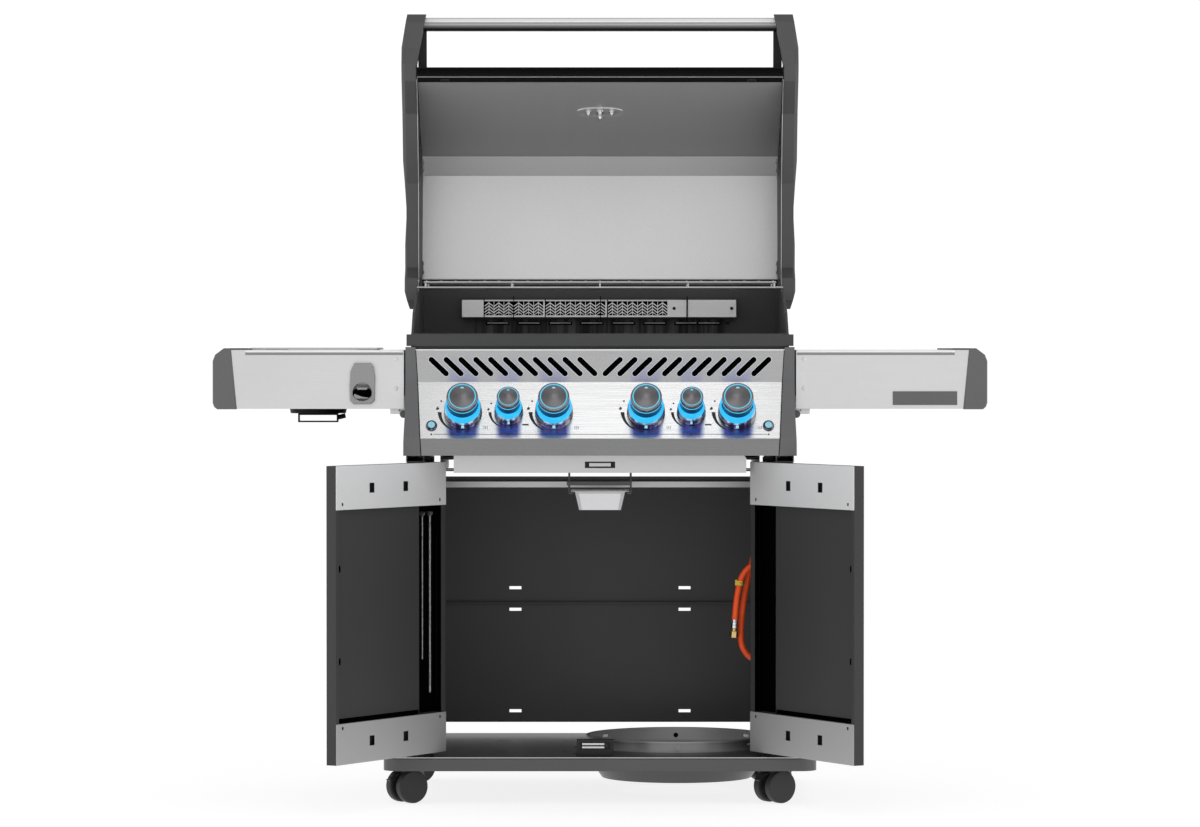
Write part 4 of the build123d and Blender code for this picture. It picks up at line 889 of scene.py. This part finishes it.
# painted highlight: a bright strip along the top of the fascia, standing in for the light caught by its folded edge
dbox(b, -381, 381, -0.55, -0.02, 934.2, 936.4, 0, 0.0)
b.done("fascia_top_edge", ["stainless_painted_highlight"], "cart", False)

b = Build()
# rear vents: black sheets as painted shade in the slots, with a light lower lip, on a sheet whose upright streaks are
# painted reflections
dbox(b, -272, 272, 544.6, 544.95, 968, 1001, 0, 0.0)
for q in range(8):
    xc = -221.8 + 68.07 * q
    xc = min(xc, 236)
    dbox(b, xc - 25.4, xc + 25.4, 544.15, 544.55, 988.6, 995.4, 1, 0.0)
    dbox(b, xc - 22.5, xc + 22.5, 543.7, 544.1, 992.0, 993.4, 2, 0.0)
b.done("rear_vent_faces", ["firebox_painted_reflection", "black_void", "liner_grey"], "cart", False)

b = Build()
# light front face of the rear rail
dbox(b, -385, 385, 561.3, 561.9, 636.0, 648.6, 0, 0.0)
b.done("rear_rail_face", ["stainless"], "cart", False)

b = Build()
# drip tray pull: a light bar inside the slot of the brace, in front of a black sheet whose dark ends are painted shade
# in the pocket
dbox(b, -29, 29, 28.6, 29.4, 693.4, 706.4, 0, 0.0)
dbox(b, -22.5, 22.5, 26.4, 28.5, 695.2, 702.6, 1, 0.0006)
b.done("tray_pull", ["black_void", "stainless"], "cart", False)

b = Build()
# painted shade: darker slabs on the grease cup's sloping side edges and under its lip
for s in (-1, 1):
    b.slab([P(s * 53, 243.4, 636.8), P(s * 46.4, 243.4, 636.8), P(s * 38.6, 253.4, 598.0), P(s * 44, 253.4, 598.0)], (0, -0.0005, 0), 0, 0.0)
b.slab([P(-53, 243.3, 637.0), P(53, 243.3, 637.0), P(52, 244.4, 632.6), P(-52, 244.4, 632.6)], (0, -0.0005, 0), 0, 0.0)
cc_ = b.done("cup_side_shade", ["zinc"], "grease_cup", False)

# screws of the side shelves, and along the top of each shelf front a dark strip (painted shade of the fold) under a
# bright strip (painted highlight of the fold)
for s, nm in ((-1, "left"), (1, "right")):
    b = Build()
    for z in (916, 856):
        b.lathe(P(s * 419, 5.9, z), (0, -1, 0), [(5.0, -0.2), (5.0, 0.8), (3.6, 1.9), (0, 2.3)], 24, 0)
    dbox(b, min(s * 404, s * 728), max(s * 404, s * 728), 5.2, 5.95, 924.5, 929.5, 1, 0.0)
    dbox(b, min(s * 404, s * 728), max(s * 404, s * 728), 5.0, 5.95, 930.2, 934.6, 2, 0.0)
    b.done(f"{nm}_shelf_screws", ["print_light", "shelf_fold_painted_shade", "stainless_painted_highlight"], f"{nm}_shelf")

b = Build()
# sheet-metal catch and slots on the base
for x0, x1 in ((-37, 9),):
    dbox(b, x0, x1, 30.6, 31.6, 114.0, 118.2, 0, 0.0004)
    dbox(b, x0, x1, 30.6, 31.6, 120.8, 125.0, 0, 0.0004)
# painted shade: black sheets on the base top standing in for the shade in its slots
for x, y in ((-46, 250), (-46, 90)):
    dbox(b, x - 9, x + 9, y, y + 3, 98.02, 98.4, 1, 0.0)
b.done("base_catch_bars", ["stainless", "black_void"], "cart", False)

b = Build()
# dark mouth of the bottle opener (a black sheet as painted shade in the opening) and its tooth
mo = []
for q in range(28):
    a = 2 * math.pi * q / 28
    ca, sa = math.cos(a), math.sin(a)
    ex = 1 / (abs(ca) ** 2.6 + abs(sa) ** 2.6) ** (1 / 2.6)
    mo.append((19.5 * ca * ex, 11.5 * sa * ex))
OPY = -9.7
b.slab([P(-487.5 + x, OPY, 846 + z) for x, z in mo], (0, -0.0003, 0), 0, 0.0)
b.slab([P(-487.5 + x, OPY - 0.5, z) for x, z in ((-12, 858), (12, 858), (9, 853.5), (-9, 853.5))], (0, -0.0005, 0), 1, 0.0)
b.slab([P(-487.5 + x, OPY - 0.5, z) for x, z in ((-16, 845), (0, 839), (14, 837), (10, 835.2), (-12, 835.2), (-17, 840))], (0, -0.0004, 0), 1, 0.0)
b.done("opener_mouth", ["black_void", "cast_grey"], "left_shelf", False)

b = Build()
# painted highlight: a light strip along the front top edge of the base; below, a small ring with a black centre
dbox(b, -440, 440, 1.45, 1.95, 96.4, 98.0, 0, 0.0)
b.lathe(P(162, 388.5, 112), (0, -1, 0), [(5.0, -0.5), (5.0, 0.8), (3.2, 0.9), (3.2, 0.2), (0, 0.2)], 20, 1)
b.done("base_lip_highlight_and_ring", ["liner_grey", "black_void"], "cart", False)

# doors: black sheets as painted shade in the hinge-side channel and as a painted shadow over the lower plate, and skin
# fasteners (drawn closed, then opened about the pins)
for s, nm, ang in ((-1, "left", -121.5), (1, "right", 119.5)):
    ca, sa = math.cos(math.radians(ang)), math.sin(math.radians(ang))
    hx = -352 if s < 0 else 346

    def DR(x, y, z):
        dx, dy = s * x - hx, y - 12
        return P(hx + dx * ca - dy * sa, 12 + dx * sa + dy * ca, z)
    out_ = Vector((-sa, ca, 0))
    across = Vector((ca, sa, 0)) * s
    b = Build()
    b.slab([DR(314.3, 1.6, 190), DR(396.0, 1.6, 190), DR(396.0, 1.6, 615), DR(314.3, 1.6, 615)], out_ * 0.0003, 0, 0.0)
    b.slab([DR(396.3, 2.2, 190), DR(396.3, 20.8, 190), DR(396.3, 20.8, 615), DR(396.3, 2.2, 615)], across * -0.0003, 0, 0.0)
    b.slab([DR(13, 13.6, 189.4), DR(311, 13.6, 189.4), DR(311, 13.6, 198.5), DR(13, 13.6, 198.5)], out_ * 0.0003, 0, 0.0)
    for z in (498, 313):
        b.slab([DR(14.5, 13.5, z - 6.5), DR(25, 13.5, z - 6.5), DR(25, 13.5, z + 6.5), DR(14.5, 13.5, z + 6.5)], out_ * 0.0045, 0, 0.0)
        b.slab([DR(25, 13.5, z - 1.6), DR(30, 13.5, z - 1.6), DR(30, 13.5, z + 1.6), DR(25, 13.5, z + 1.6)], out_ * 0.002, 0, 0.0)
    b.done(f"{nm}_door_channel", ["black_void"], f"{nm}_door", False)

# ------------------------------------------------------------------ floor, sky and lights
fm = bpy.data.materials.new("floor_white")
fm.use_nodes = True
ft = fm.node_tree
for n_ in list(ft.nodes):
    if n_.type != "OUTPUT_MATERIAL":
        ft.nodes.remove(n_)
fo = next(n_ for n_ in ft.nodes if n_.type == "OUTPUT_MATERIAL")
fd = ft.nodes.new("ShaderNodeBsdfDiffuse")
fe = ft.nodes.new("ShaderNodeEmission")
fs = ft.nodes.new("ShaderNodeAddShader")
fc = ft.nodes.new("ShaderNodeTexCoord")
fn = ft.nodes.new("ShaderNodeTexNoise")
fr = ft.nodes.new("ShaderNodeValToRGB")
fn.inputs["Scale"].default_value = 0.6
ft.links.new(fc.outputs["Object"], fn.inputs["Vector"])
fr.color_ramp.elements[0].color = (0.30, 0.30, 0.30, 1)
fr.color_ramp.elements[1].color = (0.32, 0.32, 0.32, 1)
ft.links.new(fn.outputs["Fac"], fr.inputs["Fac"])
ft.links.new(fr.outputs["Color"], fd.inputs["Color"])
fe.inputs["Color"].default_value = (1, 1, 1, 1)
fe.inputs["Strength"].default_value = 0.82
ft.links.new(fd.outputs[0], fs.inputs[0])
ft.links.new(fe.outputs[0], fs.inputs[1])
ft.links.new(fs.outputs[0], fo.inputs["Surface"])
me = bpy.data.meshes.new("floor")
me.from_pydata([(-40, -9, 0), (40, -9, 0), (40, 60, 0), (-40, 60, 0)], [], [(0, 1, 2, 3)])
floor = bpy.data.objects.new("floor", me)
floor.data.materials.append(fm)
scene.collection.objects.link(floor)
floor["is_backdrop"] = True

world = bpy.data.worlds.new("studio")
scene.world = world
world.use_nodes = True
wt = world.node_tree
for n_ in list(wt.nodes):
    wt.nodes.remove(n_)
wo = wt.nodes.new("ShaderNodeOutputWorld")
bg1 = wt.nodes.new("ShaderNodeBackground")
bg2 = wt.nodes.new("ShaderNodeBackground")
mx = wt.nodes.new("ShaderNodeMixShader")
lp = wt.nodes.new("ShaderNodeLightPath")
bg1.inputs["Color"].default_value = (1, 1, 1, 1)
bg1.inputs["Strength"].default_value = 1.05
wc = wt.nodes.new("ShaderNodeTexCoord")
ws = wt.nodes.new("ShaderNodeSeparateXYZ")
wr = wt.nodes.new("ShaderNodeValToRGB")
wm = wt.nodes.new("ShaderNodeMapRange")
wt.links.new(wc.outputs["Generated"], ws.inputs[0])
wm.inputs[1].default_value = -1.0
wm.inputs[2].default_value = 1.0
wt.links.new(ws.outputs["Z"], wm.inputs[0])
el = wr.color_ramp.elements
el[0].position, el[0].color = 0.0, (0.50, 0.50, 0.50, 1)
el[1].position, el[1].color = 1.0, (0.95, 0.95, 0.96, 1)
for p_, c_ in ((0.40, 0.55), (0.50, 0.88), (0.62, 0.92), (0.80, 0.62), (0.90, 0.38)):
    e_ = el.new(p_)
    e_.color = (c_, c_, c_, 1)
wt.links.new(wm.outputs[0], wr.inputs["Fac"])
wt.links.new(wr.outputs["Color"], bg2.inputs["Color"])
bg2.inputs["Strength"].default_value = 0.92
wt.links.new(lp.outputs["Is Camera Ray"], mx.inputs[0])
wt.links.new(bg2.outputs[0], mx.inputs[1])
wt.links.new(bg1.outputs[0], mx.inputs[2])
wt.links.new(mx.outputs[0], wo.inputs[0])


def area(name, loc, aim, sx, sy, power, col=(1, 1, 1)):
    l = bpy.data.lights.new(name, "AREA")
    l.shape, l.size, l.size_y, l.energy, l.color = "RECTANGLE", sx, sy, power, col
    o = bpy.data.objects.new(name, l)
    scene.collection.objects.link(o)
    o.location = loc
    d = Vector(aim) - Vector(loc)
    o.rotation_euler = d.to_track_quat("-Z", "Y").to_euler()
    return o


area("key_softbox", (0.1, -3.0, 4.4), (0, -0.1, 0.85), 1.2, 1.2, 9)
area("grate_fill", (0, -1.4, 1.5), (0, 0.32, 1.02), 0.8, 0.3, 0.9)
area("left_strip", (-3.6, -1.2, 1.4), (0, 0, 0.8), 0.7, 2.4, 12)
area("right_strip", (3.6, -1.2, 1.4), (0, 0, 0.8), 0.7, 2.4, 12)

scene.view_settings.view_transform = "Standard"
scene.view_settings.look = "None"
scene.view_settings.exposure = 0.0
scene.view_settings.gamma = 1.0

NEW_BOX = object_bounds()


def plain(v):
    if isinstance(v, dict):
        return {k: plain(w) for k, w in v.items()}
    if isinstance(v, (int, float)):
        return float(v)
    return [plain(w) for w in v]


{"cad": plain(CAD_BOX), "pieces": plain(NEW_BOX)}
